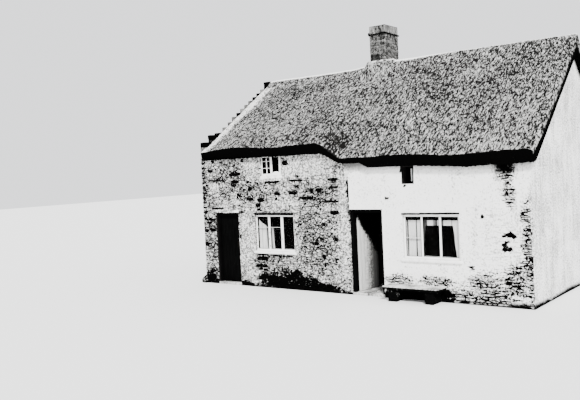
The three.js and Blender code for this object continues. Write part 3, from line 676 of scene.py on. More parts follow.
def add_skin(build, face, low, high, step, holes, out_at, tone=None, shade=None, least=0.006):
    """A closed coat between two corners of a wall, with its outside at out_at(u, v)."""
    us = coat_lines(low[0], high[0], step, [u for hole in holes for u in hole[:2]])
    vs = coat_lines(low[1], high[1], step, [v for hole in holes for v in hole[2:]], least)
    highest = high[1]
    bend_from = highest - 0.55
    grid_u, grid_v = np.meshgrid(us, vs, indexing="ij")
    share = np.clip((grid_v - bend_from) / (highest - bend_from), 0, 1)
    grid_v = np.where(share > 0, lerp(bend_from, thatch_under(grid_u, 0.0) - SEAM, share), grid_v)
    mid_u = (us[:-1] + us[1:]) / 2
    mid_v = (vs[:-1] + vs[1:]) / 2
    kept = np.ones((len(mid_u), len(mid_v)), bool)
    for x0, x1, z0, z1 in holes:
        inside_u = (mid_u > x0) & (mid_u < x1)
        inside_v = (mid_v > z0) & (mid_v < z1)
        kept &= ~(inside_u[:, None] & inside_v[None, :])
    outer = face.at(grid_u, grid_v, out_at(grid_u, grid_v)).reshape(-1, 3)
    inner = face.at(grid_u, grid_v, -0.01).reshape(-1, 3)
    faces = np.array(sheet_faces(kept))
    used = np.unique(faces)
    fresh = np.full(len(us) * len(vs) * 2, -1)
    fresh[used] = np.arange(len(used))
    fields = [np.tile(field(grid_u, grid_v).ravel(), 2)[used] if field else 0.0 for field in (tone, shade)]
    build.add(np.concatenate([outer, inner])[used], fresh[faces].tolist(), *fields)


def coat(seed, thick=0.006, coarse=0.007, fine=0.003):
    def out_at(u, v):
        slow = coarse * layered(u / 0.42, v / 0.3, seed, 2)
        return thick + coarse + slow + fine * layered(u / 0.09, v / 0.06, seed + 9, 2)
    return out_at


# Shaders

class Value:
    """A shader socket that takes part in sums: each sum adds a Math node."""

    def __init__(self, shader, socket):
        self.shader = shader
        self.socket = socket

    def math(self, operation, *others):
        return self.shader.node("ShaderNodeMath", {"operation": operation}, dict(enumerate((self, *others))))

    def __add__(self, other):
        return self.math("ADD", other)

    __radd__ = __add__

    def __mul__(self, other):
        return self.math("MULTIPLY", other)

    __rmul__ = __mul__

    def __sub__(self, other):
        return self.math("SUBTRACT", other)

    def __rsub__(self, other):
        return self.shader.node("ShaderNodeMath", {"operation": "SUBTRACT"}, {0: other, 1: self})

    def larger(self, other):
        return self.math("MAXIMUM", other)

    def smaller(self, other):
        return self.math("MINIMUM", other)

    def within(self, low, high, soft=0.01):
        """1 between two values, 0 outside them, and smooth over the width of soft inside each."""
        return self.step(low, low + soft) * self.step(high, high - soft)

    def step(self, start, end):
        """0 below start, 1 above end, and smooth between; start may be the larger one."""
        settings = {"interpolation_type": "SMOOTHSTEP"}
        return self.shader.node("ShaderNodeMapRange", settings, {0: self, 1: start, 2: end, 3: 0.0, 4: 1.0})


class Shader:
    """A node material that is written as sums of its sockets."""

    def __init__(self, name):
        self.material = bpy.data.materials.new(name)
        self.material.use_nodes = True
        self.tree = self.material.node_tree
        self.surface = self.tree.nodes["Principled BSDF"]
        self.here = self.node("ShaderNodeTexCoord", {}, {}, "Object")
        parts = self.node("ShaderNodeSeparateXYZ", {}, {0: self.here}, "X")
        self.x = parts - float(CORNER[0])
        self.y = Value(self, parts.socket.node.outputs["Y"]) - float(CORNER[1])
        self.z = Value(self, parts.socket.node.outputs["Z"])

    def node(self, kind, settings, sockets, out=0):
        made = self.tree.nodes.new(kind)
        for key, value in settings.items():
            setattr(made, key, value)
        for key, value in sockets.items():
            self.plug(made.inputs[key], value)
        return Value(self, made.outputs[out])

    def plug(self, socket, value):
        """Links a value to a socket, or sets it there."""
        if isinstance(value, Value):
            self.tree.links.new(value.socket, socket)
        else:
            socket.default_value = (*value, 1.0) if socket.type == "RGBA" else value

    def mark(self, name):
        """A number that the mesh carries at its points."""
        return self.node("ShaderNodeAttribute", {"attribute_name": name}, {}, "Fac")

    def stretched(self, x, y, z):
        return self.node("ShaderNodeVectorMath", {"operation": "MULTIPLY"}, {0: self.here, 1: (x, y, z)})

    def speckle(self, scale, detail=4.0, roughness=0.6, at=None):
        sockets = {"Vector": at or self.here, "Scale": scale, "Detail": detail, "Roughness": roughness}
        return self.node("ShaderNodeTexNoise", {}, sockets)

    def flags(self, scale):
        """The distance to the next joint between uneven flags."""
        sockets = {"Vector": self.stretched(1.0, 1.0, 0.0), "Scale": scale}
        return self.node("ShaderNodeTexVoronoi", {"feature": "DISTANCE_TO_EDGE"}, sockets, "Distance")

    def blend(self, share, first, second, kind="MIX"):
        """A colour between two colours."""
        made = self.tree.nodes.new("ShaderNodeMix")
        made.data_type = "RGBA"
        made.blend_type = kind
        named = {socket.identifier: socket for socket in (*made.inputs, *made.outputs)}
        for key, value in (("Factor_Float", share), ("A_Color", first), ("B_Color", second)):
            self.plug(named[key], value)
        return Value(self, named["Result_Color"])

    def finish(self, base, roughness, height=None, depth=0.01, alpha=1.0, gloss=0.0):
        """Ends the material: its colour, roughness, bumps of a depth in metres, and how it mirrors."""
        sockets = {"Base Color": base, "Roughness": roughness, "Alpha": alpha, "Specular IOR Level": gloss}
        if height:
            bumps = {"Height": height, "Distance": depth, "Strength": 1.0}
            sockets["Normal"] = self.node("ShaderNodeBump", {}, bumps)
        for key, value in sockets.items():
            self.plug(self.surface.inputs[key], value)
        return self.material


def scaled(rgb, share):
    return tuple(share * c for c in rgb)


def flaws(s, across=14.0, up=37.0, fine=29.0):
    """Noise about 0.5 on average: flat dashes along the wall, mixed with round spots."""
    dashes = s.speckle(1.0, 3.0, 0.55, s.stretched(across, across, up))
    return dashes * 0.5 + s.speckle(fine, 3.0, 0.55) * 0.5


def rubble_stone(name, looks):
    """Pale stone with black flaws: a point's tone says how few of them it has."""
    s = Shader(name)
    tone = s.mark("tone")
    grain = s.speckle(27.0, 4.0, 0.6)
    cloud = s.speckle(6.0, 4.0, 0.6)
    black = (flaws(s) + (0.63 - tone) * 0.185).step(0.537, 0.549)
    flecks = (s.speckle(28.0, 2.0, 0.5) + (cloud - 0.5) * 0.4).step(0.625, 0.64)
    black = black.larger(flecks)
    light = ((grain - 0.5) * 2.6 + (cloud - 0.5) * 0.8 + tone * 0.3 + 0.22).step(0.07, 0.84)
    base = s.blend(light, scaled(looks.stone_light, 0.1), scaled(looks.stone_light, 0.92))
    # The stone goes black towards the ground.
    foot = (s.z + (cloud - 0.5) * 0.3).step(0.1, 0.0)
    base = s.blend(black.larger(foot), base, looks.stone_dark)
    return s.finish(base, 0.85 + grain * 0.12, grain * 0.7 - black * 0.8, 0.012)


def wall_bed(name, looks, washed=False):
    """The wall behind its stones, black in its door reveals, with painted shade: black inside, and black in
    the right upper window's reveal and the strip over it under the thatch.
    """
    s = Shader(name)
    grain = s.speckle(30.0, 5.0, 0.7)
    black = flaws(s).step(0.62, 0.66) if washed else flaws(s).step(0.47, 0.53)
    outside = looks.limewash if washed else looks.stone_light
    base = s.blend(grain.step(0.3, 0.8), scaled(outside, 0.6), scaled(outside, 0.95))
    base = s.blend(black, base, BLACK)
    # Painted shade: the walls' inner faces are painted black for the dark rooms.
    inside = s.y.within(0.05, DEPTH - 0.05) * s.x.within(0.05, LENGTH - 0.05)
    reveal = s.y.step(0.002, 0.004) * s.z.step(1.9, 1.89)
    doors = s.x.within(0.4, 1.2) + s.x.within(4.42, 5.26)
    # Painted shade: the right upper window's reveal and the wall over it, which lie in the thatch's shade,
    # are painted black.
    upper = (s.z.step(2.3, 2.32) * s.y.step(0.002, 0.004)).larger(s.z.step(2.735, 2.74))
    upper = upper * s.x.within(5.7, 6.05)
    painted_shade_and_dark_reveals = inside.larger(reveal * doors).larger(upper)
    base = s.blend(painted_shade_and_dark_reveals, base, s.blend(grain, BLACK, (0.02, 0.019, 0.018)))
    return s.finish(base, 0.9 + grain * 0.1, grain, 0.01)


def limewash_coat(name, looks, marked=True):
    """Limewash over stones: where a point's tone is high it has flaked, and its shade tells the hollows, one
    of which is painted shadow behind the bench. It also carries painted shade under the eave and painted
    shadows of the bench and of a tree.
    """
    s = Shader(name)
    tone = s.mark("tone")
    gone = s.mark("shade")
    grain = s.speckle(26.0, 6.0, 0.7)
    cloud = s.speckle(1.7, 5.0, 0.6)
    streak = s.speckle(3.0, 5.0, 0.65, s.stretched(2.6, 2.6, 0.5))
    specks = s.speckle(30.0, 2.0, 0.5)
    mottle = (cloud - 0.5) * 0.8 + (streak - 0.5) * 0.9 + (grain - 0.5) * 0.6 + (specks - 0.5) * 1.6
    mottle = mottle + tone * 0.14 + s.x.step(7.0, 8.2) * 0.1 + 0.48
    base = s.blend(mottle.step(0.38, 1.05), looks.limewash, scaled(looks.limewash, 0.3))
    noise_here = flaws(s, 7.0, 36.0, 26.0)
    if not marked:
        tone = (cloud - 0.5) * 3.0 - 0.6 - s.z.step(0.1, 0.9) * 0.4
    black = (noise_here + tone * 0.14).step(0.565, 0.59)
    holes = (gone + (s.speckle(22.0, 4.0, 0.7) - 0.5) * 2.0).step(0.45, 0.6)
    bare = (noise_here + tone * 0.11).step(0.52, 0.56)
    worn = s.x.step(6.8, 7.8) * s.z.step(2.3, 1.6) * s.y.step(0.3, 0.2)
    dashes = (noise_here + worn * 0.07).step(0.56, 0.65) * worn * 0.5
    base = s.blend(dashes, base, scaled(looks.limewash, 0.12))
    base = s.blend(bare * 0.5, base, scaled(looks.stone_light, 0.4))
    base = s.blend(black.larger(holes), base, BLACK)
    # Painted shade: the wall darkens towards the eave, and on the gables along the rake, where the thatch
    # shades it.
    rise = s.y.smaller(DEPTH - s.y).larger(0.0) * RIGHT_PITCH
    aside = (s.x - 7.93) * 2.9
    below = (s.z - 2.66) * 4.0
    # Painted shadow: a dark cloud under the eave at the right end stands for a tree's shadow.
    spot = (1.0 - aside * aside - below * below).larger(0.0) * s.y.step(0.3, 0.2)
    rough = (grain - 0.5) * 0.16 + (cloud - 0.5) * 0.16 + s.x.step(5.6, 7.6) * 0.07
    base = s.blend((s.z - rise + rough).step(2.64, 2.84) * 0.85, base, (0.03, 0.03, 0.029))
    painted_shadow = (spot * 1.4 + (grain - 0.5) * 1.8 + (cloud - 0.5) * 0.8).step(0.3, 1.15) * spot.step(0.0, 0.3)
    base = s.blend(painted_shadow, base, BLACK)
    # The wall goes black towards its foot, and behind the bench the black reaches higher: painted shadow of
    # the bench.
    bench = s.x.within(5.2, 6.85, 0.15) * s.y.step(0.3, 0.2)
    foot = (s.z + (grain - 0.5) * 0.14 + (cloud - 0.5) * 0.2 - bench * 0.2).step(0.12, 0.03)
    base = s.blend(foot, base, BLACK)
    height = grain * 0.5 + s.speckle(90.0, 3.0, 0.6) * 0.2 - black * 1.2 - holes * 1.5 + cloud
    return s.finish(base, 0.85 + grain * 0.12, height, 0.012)


def straw(name, dark, light):
    """Combed straw: a point's tone says how light it is, and its shade marks the eave's cut face and
    underside, which are painted black as shade.
    """
    s = Shader(name)
    tone = s.mark("tone")
    under = s.mark("shade")
    fine = s.speckle(1.0, 2.0, 0.5, s.stretched(44.0, 17.0, 17.0))
    blown = s.speckle(1.0, 3.0, 0.6, s.stretched(19.0, 7.0, 7.0))
    slow = s.speckle(0.9, 3.0, 0.6)
    share = (fine - 0.5) * 4.1 + (blown - 0.5) * 2.7 + (slow - 0.5) * 0.7 + tone
    base = s.blend(share.step(0.16, 1.06), dark, light)
    base = s.blend((tone + (fine - 0.5) * 0.6).step(0.75, 1.1), base, scaled(light, 2.0))
    # Painted shade: the eave's cut face and underside are painted black.
    base = s.blend(under.step(0.2, 0.6), base, BLACK)
    height = fine * 0.8 + blown * 0.6
    return s.finish(base, 0.85 + fine * 0.15, height, 0.014)


def timber(name, dark, light, along="z", worn=0.0, gloss=0.8):
    """Sawn or hewn wood with its grain along one axis; worn paint rubs through to grey wood."""
    s = Shader(name)
    spread = [3.0 if axis == along else 60.0 for axis in "xyz"]
    grain = s.speckle(1.0, 5.0, 0.65, s.stretched(*spread))
    cloud = s.speckle(3.0, 4.0, 0.6)
    share = ((grain - 0.5) * 1.3 + (cloud - 0.5) * 0.6 + 0.5).step(0.1, 0.9)
    base = s.blend(share, dark, light)
    if worn:
        rubbed = (s.speckle(22.0, 6.0, 0.75) + (0.5 - s.z) * 0.07).step(0.56, 0.64)
        base = s.blend(rubbed * worn, base, (0.06, 0.058, 0.053))
        grime = (s.z + (cloud - 0.5) * 0.5).step(0.34, 0.08)
        base = s.blend(grime * 0.6, base, (0.05, 0.049, 0.046))
    return s.finish(base, gloss + (grain - 0.5) * 0.2, grain, 0.003)


def door_paint_with_painted_shadow(name, looks):
    """Pale door paint with painted shade: darker deeper into the house, towards the free edge, and black as
    painted shadow above a slanting line.
    """
    s = Shader(name)
    grain = s.speckle(1.0, 5.0, 0.65, s.stretched(60.0, 60.0, 3.0))
    grime = s.speckle(24.0, 4.0, 0.65)
    cloud = s.speckle(4.0, 4.0, 0.6)
    share = ((grain - 0.5) * 1.2 + 0.5).step(0.1, 0.9)
    base = s.blend(share, scaled(looks.door_paint, 0.5), looks.door_paint)
    # Painted shade: the leaf darkens deeper into the house, towards its free edge.
    painted_shade_inside = (s.y + (grime - 0.5) * 0.5 + (cloud - 0.5) * 0.2).step(0.3, 0.62)
    base = s.blend(painted_shade_inside * 0.93, base, (0.02, 0.0198, 0.019))
    # Painted shadow: black above a slanting line stands for the shadow of the door head.
    painted_shadow = (s.z + s.y * 1.35 + (grime - 0.5) * 0.3 + (cloud - 0.5) * 0.3).step(1.78, 1.92)
    base = s.blend(painted_shadow, base, BLACK)
    return s.finish(base, 0.8 + (grain - 0.5) * 0.2, grain, 0.003)


def iron(name, looks):
    s = Shader(name)
    rust = s.speckle(60.0, 5.0, 0.7)
    base = s.blend(rust.step(0.4, 0.7), (0.001, 0.001, 0.001), (0.02, 0.017, 0.014))
    return s.finish(base, 0.6 + rust * 0.3, rust, 0.002)


def glass(name, looks):
    s = Shader(name)
    dust = s.speckle(30.0, 4.0, 0.65)
    base = s.blend(dust.step(0.55, 0.85), BLACK, (0.02, 0.02, 0.02))
    return s.finish(base, 0.06 + dust * 0.12, s.speckle(7.0, 2.0, 0.5), 0.004, alpha=0.12, gloss=0.12)


def cloth(name, looks):
    s = Shader(name)
    weave = s.node("ShaderNodeTexWave", {"bands_direction": "Z"}, {"Vector": s.here, "Scale": 160.0}, "Fac")
    warp = s.node("ShaderNodeTexWave", {"bands_direction": "X"}, {"Vector": s.here, "Scale": 160.0}, "Fac")
    soil = s.speckle(5.0, 4.0, 0.6)
    base = s.blend(soil.step(0.45, 0.8), looks.curtain, scaled(looks.curtain, 0.75))
    # Painted shade: where a point's tone falls, the cloth is painted dark for the shade in its folds.
    base = s.blend(s.mark("tone"), scaled(looks.curtain, 0.06), base)
    return s.finish(base, 0.9 + (weave - 0.5) * 0.06, weave + warp, 0.0008)


def flagstone(name, looks, painted_shade_below=None):
    """Stone flags. When a height is given, they are pale only above it, with a few pale specks, and painted
    black as shade below it: the bench's front edge, underside and feet.
    """
    s = Shader(name)
    grain = s.speckle(24.0, 6.0, 0.72)
    cloud = s.speckle(3.5, 4.0, 0.6)
    light = ((grain - 0.5) * 1.2 + cloud).step(0.1, 0.8)
    height = grain + cloud
    # Painted shade: below the given height the stone is painted black.
    if painted_shade_below:
        specks = (s.speckle(26.0, 4.0, 0.7) + (cloud - 0.5) * 0.8).step(0.7, 0.74)
        light = light * (s.z + (grain - 0.5) * 0.02).step(painted_shade_below, painted_shade_below + 0.012).larger(specks * 0.25)
    else:
        edge = s.flags(2.3).step(0.0, 0.035)
        light = light * (edge * 0.9 + 0.1)
        height = height + edge * 0.5
    base = s.blend(light, looks.flag_dark, looks.flag_light)
    return s.finish(base, 0.75 + grain * 0.2, height, 0.007)


def coping_stone(name, looks):
    s = Shader(name)
    tone = s.mark("tone")
    grain = s.speckle(26.0, 6.0, 0.75)
    moss = s.speckle(9.0, 5.0, 0.7)
    light = (tone * 0.8 + (grain - 0.5) * 1.2 + (moss - 0.5) * 0.8).step(0.2, 0.9)
    base = s.blend(light, looks.coping_dark, looks.coping_light)
    return s.finish(base, 0.85 + grain * 0.15, grain + moss, 0.012)


def sooty_stone(name, looks):
    """Chimney rubble with soot run down it."""
    s = Shader(name)
    tone = s.mark("tone")
    grain = s.speckle(30.0, 6.0, 0.72)
    streak = s.speckle(1.0, 5.0, 0.65, s.stretched(22.0, 22.0, 4.0))
    light = (tone * 0.5 + (grain - 0.5) * 1.6 + (streak - 0.5) * 2.8 + 0.05).step(0.0, 1.1)
    base = s.blend(light, looks.stack_dark, looks.stack_light)
    soot = (streak + (grain - 0.5) * 0.6 - s.z.step(5.55, 6.0) * 0.04).step(0.545, 0.6)
    base = s.blend(soot.larger(s.z.step(6.215, 6.235)) * 0.95, base, BLACK)
    return s.finish(base, 0.85 + grain * 0.12, grain, 0.012)


def white_paint(name, looks):
    """White paint, painted black as shade where a point's shade says that it lies behind the front."""
    s = Shader(name)
    grain = s.speckle(1.0, 4.0, 0.6, s.stretched(50.0, 50.0, 6.0))
    chips = (s.speckle(42.0, 5.0, 0.7) + (s.speckle(4.0, 2.0) - 0.5) * 0.2).step(0.67, 0.7)
    soil = s.speckle(6.0, 4.0, 0.6)
    base = s.blend(soil.step(0.5, 0.85), looks.paint, scaled(looks.paint, 0.8))
    base = s.blend(chips * 0.75, base, (0.15, 0.147, 0.14))
    # Painted shade: the frame's inner sides, and the head rails under the eave, are painted black.
    base = s.blend((s.mark("shade") + (grain - 0.5) * 0.1).step(0.3, 0.42), base, BLACK)
    return s.finish(base, 0.6 + soil * 0.25, grain * 0.5 - chips, 0.0015)


def limewashed_stone(name, looks):
    """Limewashed stone such as the sills: smooth, with worn arrises."""
    s = Shader(name)
    grain = s.speckle(34.0, 6.0, 0.7)
    soil = s.speckle(5.0, 5.0, 0.65)
    soiled = (soil + (grain - 0.5) * 0.6).step(0.5, 0.8)
    base = s.blend(soiled, looks.limewash, scaled(looks.limewash, 0.5))
    return s.finish(base, 0.8 + grain * 0.15, grain + soil, 0.004)


def floor_boards(name, looks):
    s = Shader(name)
    boards = s.node("ShaderNodeTexBrick", {"offset": 0.5}, {
        "Vector": s.here, "Scale": 1.0, "Brick Width": 2.2, "Row Height": 0.16, "Mortar Size": 0.004,
        "Color1": (0.9, 0.9, 0.9), "Color2": (0.5, 0.5, 0.5), "Mortar": (0.0, 0.0, 0.0)}, "Color")
    grain = s.speckle(1.0, 5.0, 0.65, s.stretched(3.0, 60.0, 60.0))
    base = s.blend(grain.step(0.3, 0.75), looks.timber_dark, looks.timber_light)
    base = s.blend(0.6, base, boards, "MULTIPLY")
    return s.finish(base, 0.7 + grain * 0.25, grain, 0.003)


def sooty_bed(name, looks):
    s = Shader(name)
    grain = s.speckle(30.0, 6.0, 0.7)
    base = s.blend(grain.step(0.4, 0.7), BLACK, scaled(looks.stack_light, 0.35))
    return s.finish(base, 0.9 + grain * 0.1, grain, 0.008)


FINISHES = {
    "rubble stone": rubble_stone,
    "wall bed": wall_bed,
    "limewash bed": lambda name, looks: wall_bed(name, looks, washed=True),
    "limewash": limewash_coat,
    "limewash away": lambda name, looks: limewash_coat(name, looks, marked=False),
    "limewashed stone": limewashed_stone,
    "coping stone": coping_stone,
    "sooty stone": sooty_stone,
    "sooty bed": sooty_bed,
    "thatch": lambda name, looks: straw(name, looks.straw_dark, looks.straw_light),
    "ridge straw": lambda name, looks: straw(name, looks.ridge_dark, looks.ridge_light),
    "hazel rod": lambda name, looks: timber(name, looks.tar, scaled(looks.timber_dark, 0.3), "x"),
    "roof timber": lambda name, looks: timber(name, looks.timber_dark, looks.timber_light, "y", worn=0.85),
    "tarred wood": lambda name, looks: timber(name, looks.tar, scaled(looks.tar, 3.0)),
    # Black tar, also used as painted shadow on the drip boards.
    "weathered tar": lambda name, looks: timber(name, looks.tar, (0.008, 0.008, 0.0077), "x"),
    "floor boards": floor_boards,
    "flagstone": flagstone,
    # The bench is pale only on its seat's top; its front, underside and feet are painted black as shade.
    "bench seat": lambda name, looks: flagstone(name, looks, painted_shade_below=BENCH["top"] - 0.02),
    "bench legs": lambda name, looks: flagstone(name, looks, painted_shade_below=1.0),
    "door paint": door_paint_with_painted_shadow,
    "door iron": iron,
    "white paint": white_paint,
    "old glass": glass,
    "cotton": cloth,
}
_made = {}


def finish_of(name):
    """The material of a finish: each is made once and shared."""
    if name not in _made:
        _made[name] = FINISHES[name](name, bpy.context.scene.cottage_finishes)
    return _made[name]


# Properties

def colour_of(name, description, default):
    return bpy.props.FloatVectorProperty(name=name, description=description, default=default,
                                         subtype="COLOR", size=3, min=0.0, max=1.0)


class CottageFinishes(bpy.types.PropertyGroup):
    """Colours of the cottages' finishes."""
    stone_light: colour_of("Light stone", "Palest rubble", (0.86, 0.855, 0.835))
    # Dark stone serves the flaws and the black towards the wall's foot.
    stone_dark: colour_of("Dark stone", "Flaws and wet foot of the rubble", (0.001, 0.001, 0.00095))
    limewash: colour_of("Limewash", "Fresh limewash", (0.93, 0.926, 0.91))
    coping_light: colour_of("Light coping", "Palest parapet stone", (0.3, 0.297, 0.285))
    coping_dark: colour_of("Dark coping", "Darkest parapet stone", (0.001, 0.001, 0.001))
    stack_light: colour_of("Light chimney stone", "Palest stone of the chimney", (0.36, 0.357, 0.345))
    stack_dark: colour_of("Dark chimney stone", "Darkest stone of the chimney", (0.006, 0.006, 0.0058))
    straw_light: colour_of("Light straw", "Bleached straw", (0.36, 0.357, 0.347))
    straw_dark: colour_of("Dark straw", "Damp straw", (0.006, 0.0059, 0.0057))
    ridge_light: colour_of("Light ridge straw", "Packed straw of the ridge", (0.42, 0.416, 0.405))
    ridge_dark: colour_of("Dark ridge straw", "The packed straw's hollows", (0.008, 0.0079, 0.0076))
    paint: colour_of("White paint", "Paint of the window frames", (0.93, 0.926, 0.91))
    door_paint: colour_of("Door paint", "Pale paint of the right door", (0.74, 0.735, 0.71))
    tar: colour_of("Tar", "Tarred timber", (0.0008, 0.0008, 0.0008))
    timber_light: colour_of("Light timber", "Palest bare wood", (0.2, 0.19, 0.17))
    timber_dark: colour_of("Dark timber", "Darkest bare wood", (0.05, 0.047, 0.042))
    flag_light: colour_of("Light flagstone", "Worn flagstone", (0.7, 0.695, 0.675))
    # Dark flagstone serves the floors' damp and joints, and painted shade on the bench's front, underside
    # and feet.
    flag_dark: colour_of("Dark flagstone", "Damp flagstone", (0.0015, 0.0015, 0.0015))
    curtain: colour_of("Curtain", "Thin cotton of the curtains", (0.95, 0.945, 0.93))


def length_of(name, description, default, low, high):
    return bpy.props.FloatProperty(name=name, description=description, default=default, min=low, max=high,
                                   unit="LENGTH")


class CottageSizes(bpy.types.PropertyGroup):
    """Sizes of the cottages' stones, straw and cloth."""
    course: length_of("Course height", "Usual height of a rubble course", 0.085, 0.05, 0.3)
    stone: length_of("Stone length", "Usual length of a rubble stone", 0.15, 0.08, 0.6)
    joint: length_of("Joint", "Width of the joints between stones", 0.016, 0.004, 0.04)
    relief: length_of("Relief", "How far the stones stand out of the wall", 0.017, 0.004, 0.05)
    straw_step: length_of("Thatch step", "Spacing of the thatch surface's lines", 0.016, 0.008, 0.1)
    straw_length: length_of("Straw length", "Longest loose bundle on the thatch", 0.14, 0.05, 0.5)
    pleat: length_of("Pleat", "Depth of the curtains' pleats", 0.009, 0.0, 0.012)
    lens: bpy.props.FloatProperty(name="Lens", description="Focal length of the camera in millimetres",
                                  default=44.29, min=10, max=200)


def sizes():
    return bpy.context.scene.cottage_sizes


class CottageOperator:
    """What the cottage's operators share: each makes its own pieces."""
    bl_options = {"REGISTER", "UNDO"}

    def execute(self, context):
        self.make()
        return {"FINISHED"}


def dress(node, material, bevel=0.0):
    """A CAD node that stays gets a finish, and a rounding of its edges where it has room for one."""
    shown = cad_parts[node]
    shown.data.materials.clear()
    shown.data.materials.append(material)
    if bevel:
        weld = shown.modifiers.new("Weld", "WELD")
        weld.merge_threshold = 0.0002
        rounding = shown.modifiers.new("Rounding", "BEVEL")
        rounding.width = bevel
        rounding.segments = 2
        rounding.limit_method = "ANGLE"
        rounding.angle_limit = math.radians(35)


# Operators

class COTTAGE_OT_wall_beds(CottageOperator, bpy.types.Operator):
    """Finish the walls behind their stones and inside"""
    bl_idname = "cottage.wall_beds"
    bl_label = "Wall beds"

    def make(self):
        for node in ("left_over_door", "left_front", "west_gable", "left_back", "party"):
            dress(f"{node}_wall", finish_of("wall bed"))
        for node in ("right_over_door", "right_front", "right_back", "east_gable"):
            dress(f"{node}_wall", finish_of("limewash bed"))


class COTTAGE_OT_left_stones(CottageOperator, bpy.types.Operator):
    """Lay the rubble of the left half's front"""
    bl_idname = "cottage.left_stones"
    bl_label = "Left front rubble"

    def make(self):
        size = sizes()
        rubble = Rubble(11, size.course, size.stone, size.joint, size.relief, holes=LEFT_OPENINGS,
                        named=DARK_STONES, top=eave_height, tone=left_tone, filled=left_wash)
        build = Build()
        rubble.lay(build, FRONT_FACE, (-WRAP, 0.0), (PARTY_RIGHT, 3.13))
        ground = coat(12, 0.004, 0.002, 0.003)
        mortar = lambda u, v: ground(u, v) + 0.010 * left_wash(u, v)
        add_skin(build, FRONT_FACE, (0.0, 0.0), (PARTY_RIGHT, LEFT_HEAD - SEAM), 0.03, LEFT_OPENINGS, mortar,
                 left_mortar, least=0.003)
        build.piece("left_front_rubble", "rubble", finish_of("rubble stone"))


def back_openings(half):
    """What the back wall's stones or coat leave open: its windows, and the sill under the lower one."""
    openings = []
    for name, (x0, x1, z0, z1), _ in BACK_WINDOWS:
        if name.startswith(half):
            sill = SILL_HEIGHT if "lower" in name else 0.0
            openings.append((x0, x1, round(z0 - sill, 3), z1))
    return openings


class COTTAGE_OT_gable_stones(CottageOperator, bpy.types.Operator):
    """Lay the rubble of the west gable and of the left half's back"""
    bl_idname = "cottage.gable_stones"
    bl_label = "Gable and back rubble"

    def make(self):
        size = sizes()
        shape = (size.course * 1.2, size.stone * 1.2, size.joint, size.relief, True)
        gable = Rubble(23, *shape, top=lambda u: LEFT_HEAD + 0.1 + LEFT_PITCH * min(u, DEPTH - u))
        build = Build()
        gable.lay(build, WEST_FACE, (-WRAP, 0.0), (DEPTH + WRAP, gable.top(RIDGE)))
        build.piece("west_gable_rubble", "rubble", finish_of("rubble stone"))
        back = Rubble(31, *shape, holes=back_openings("left"), top=eave_height)
        build = Build()
        back.lay(build, BACK_FACE, (-WRAP, 0.0), (PARTY_RIGHT, 3.13))
        build.piece("left_back_rubble", "rubble", finish_of("rubble stone"))


def coat_right_front():
    build = Build()
    add_skin(build, FRONT_FACE, (JUNCTION_HIGH, 0.0), (LENGTH + WRAP, RIGHT_HEAD - SEAM), 0.022,
             RIGHT_OPENINGS, coat(5), right_bare, right_hollow)
    build.piece("right_front_limewash", "limewash", finish_of("limewash"))
    # Painted shadow of the bench: the stones behind it are laid darker.
    behind_bench = lambda u, v: u < 6.75 and v < 0.3
    stones = Rubble(
        41, 0.052, 0.19, 0.02, 0.02,
        holes=[(PARTY_RIGHT, 5.25, 0, 1.88), (5.66, 7.03, 0.76, 1.8), (5.7, 6.05, 2.35, 2.76)],
        top=lambda u: eave_height(u) - 0.02, keep=lambda u, v: right_bare(u, v) > 0.5,
        tone=lambda u, v, rng: rng.uniform(0.5, 1.1) - 1.0 * behind_bench(u, v))
    build = Build()
    stones.lay(build, FRONT_FACE, (5.25, 0.0), (LENGTH + WRAP, 2.74))
    build.piece("right_front_bare_stones", "rubble", finish_of("rubble stone"))


def coat_right_back_and_gable():
    finish = finish_of("limewash away")
    build = Build()
    add_skin(build, BACK_FACE, (PARTY_RIGHT, 0.0), (LENGTH + WRAP, RIGHT_HEAD - SEAM), 0.06,
             back_openings("right"), coat(6))
    build.piece("right_back_limewash", "limewash", finish)
    build = Build()
    us = np.linspace(-WRAP, DEPTH + WRAP, 90)
    rising = lambda u: RIGHT_HEAD + RIGHT_PITCH * np.clip(np.minimum(u, DEPTH - u), 0, None) - 0.002
    grid_u, share = np.meshgrid(us, np.linspace(0, 1, 60), indexing="ij")
    heights = share * rising(grid_u)
    outer = EAST_FACE.at(grid_u, heights, coat(8)(grid_u, heights)).reshape(-1, 3)
    inner = EAST_FACE.at(grid_u, heights, -0.01).reshape(-1, 3)
    build.add(np.concatenate([outer, inner]), sheet_faces(np.ones((len(us) - 1, 59), bool)))
    build.piece("east_gable_limewash", "limewash", finish)


class COTTAGE_OT_limewash(CottageOperator, bpy.types.Operator):
    """Coat the right half's walls in limewash, with the stones that show through it"""
    bl_idname = "cottage.limewash"
    bl_label = "Limewashed walls"

    def make(self):
        coat_right_front()
        coat_right_back_and_gable()


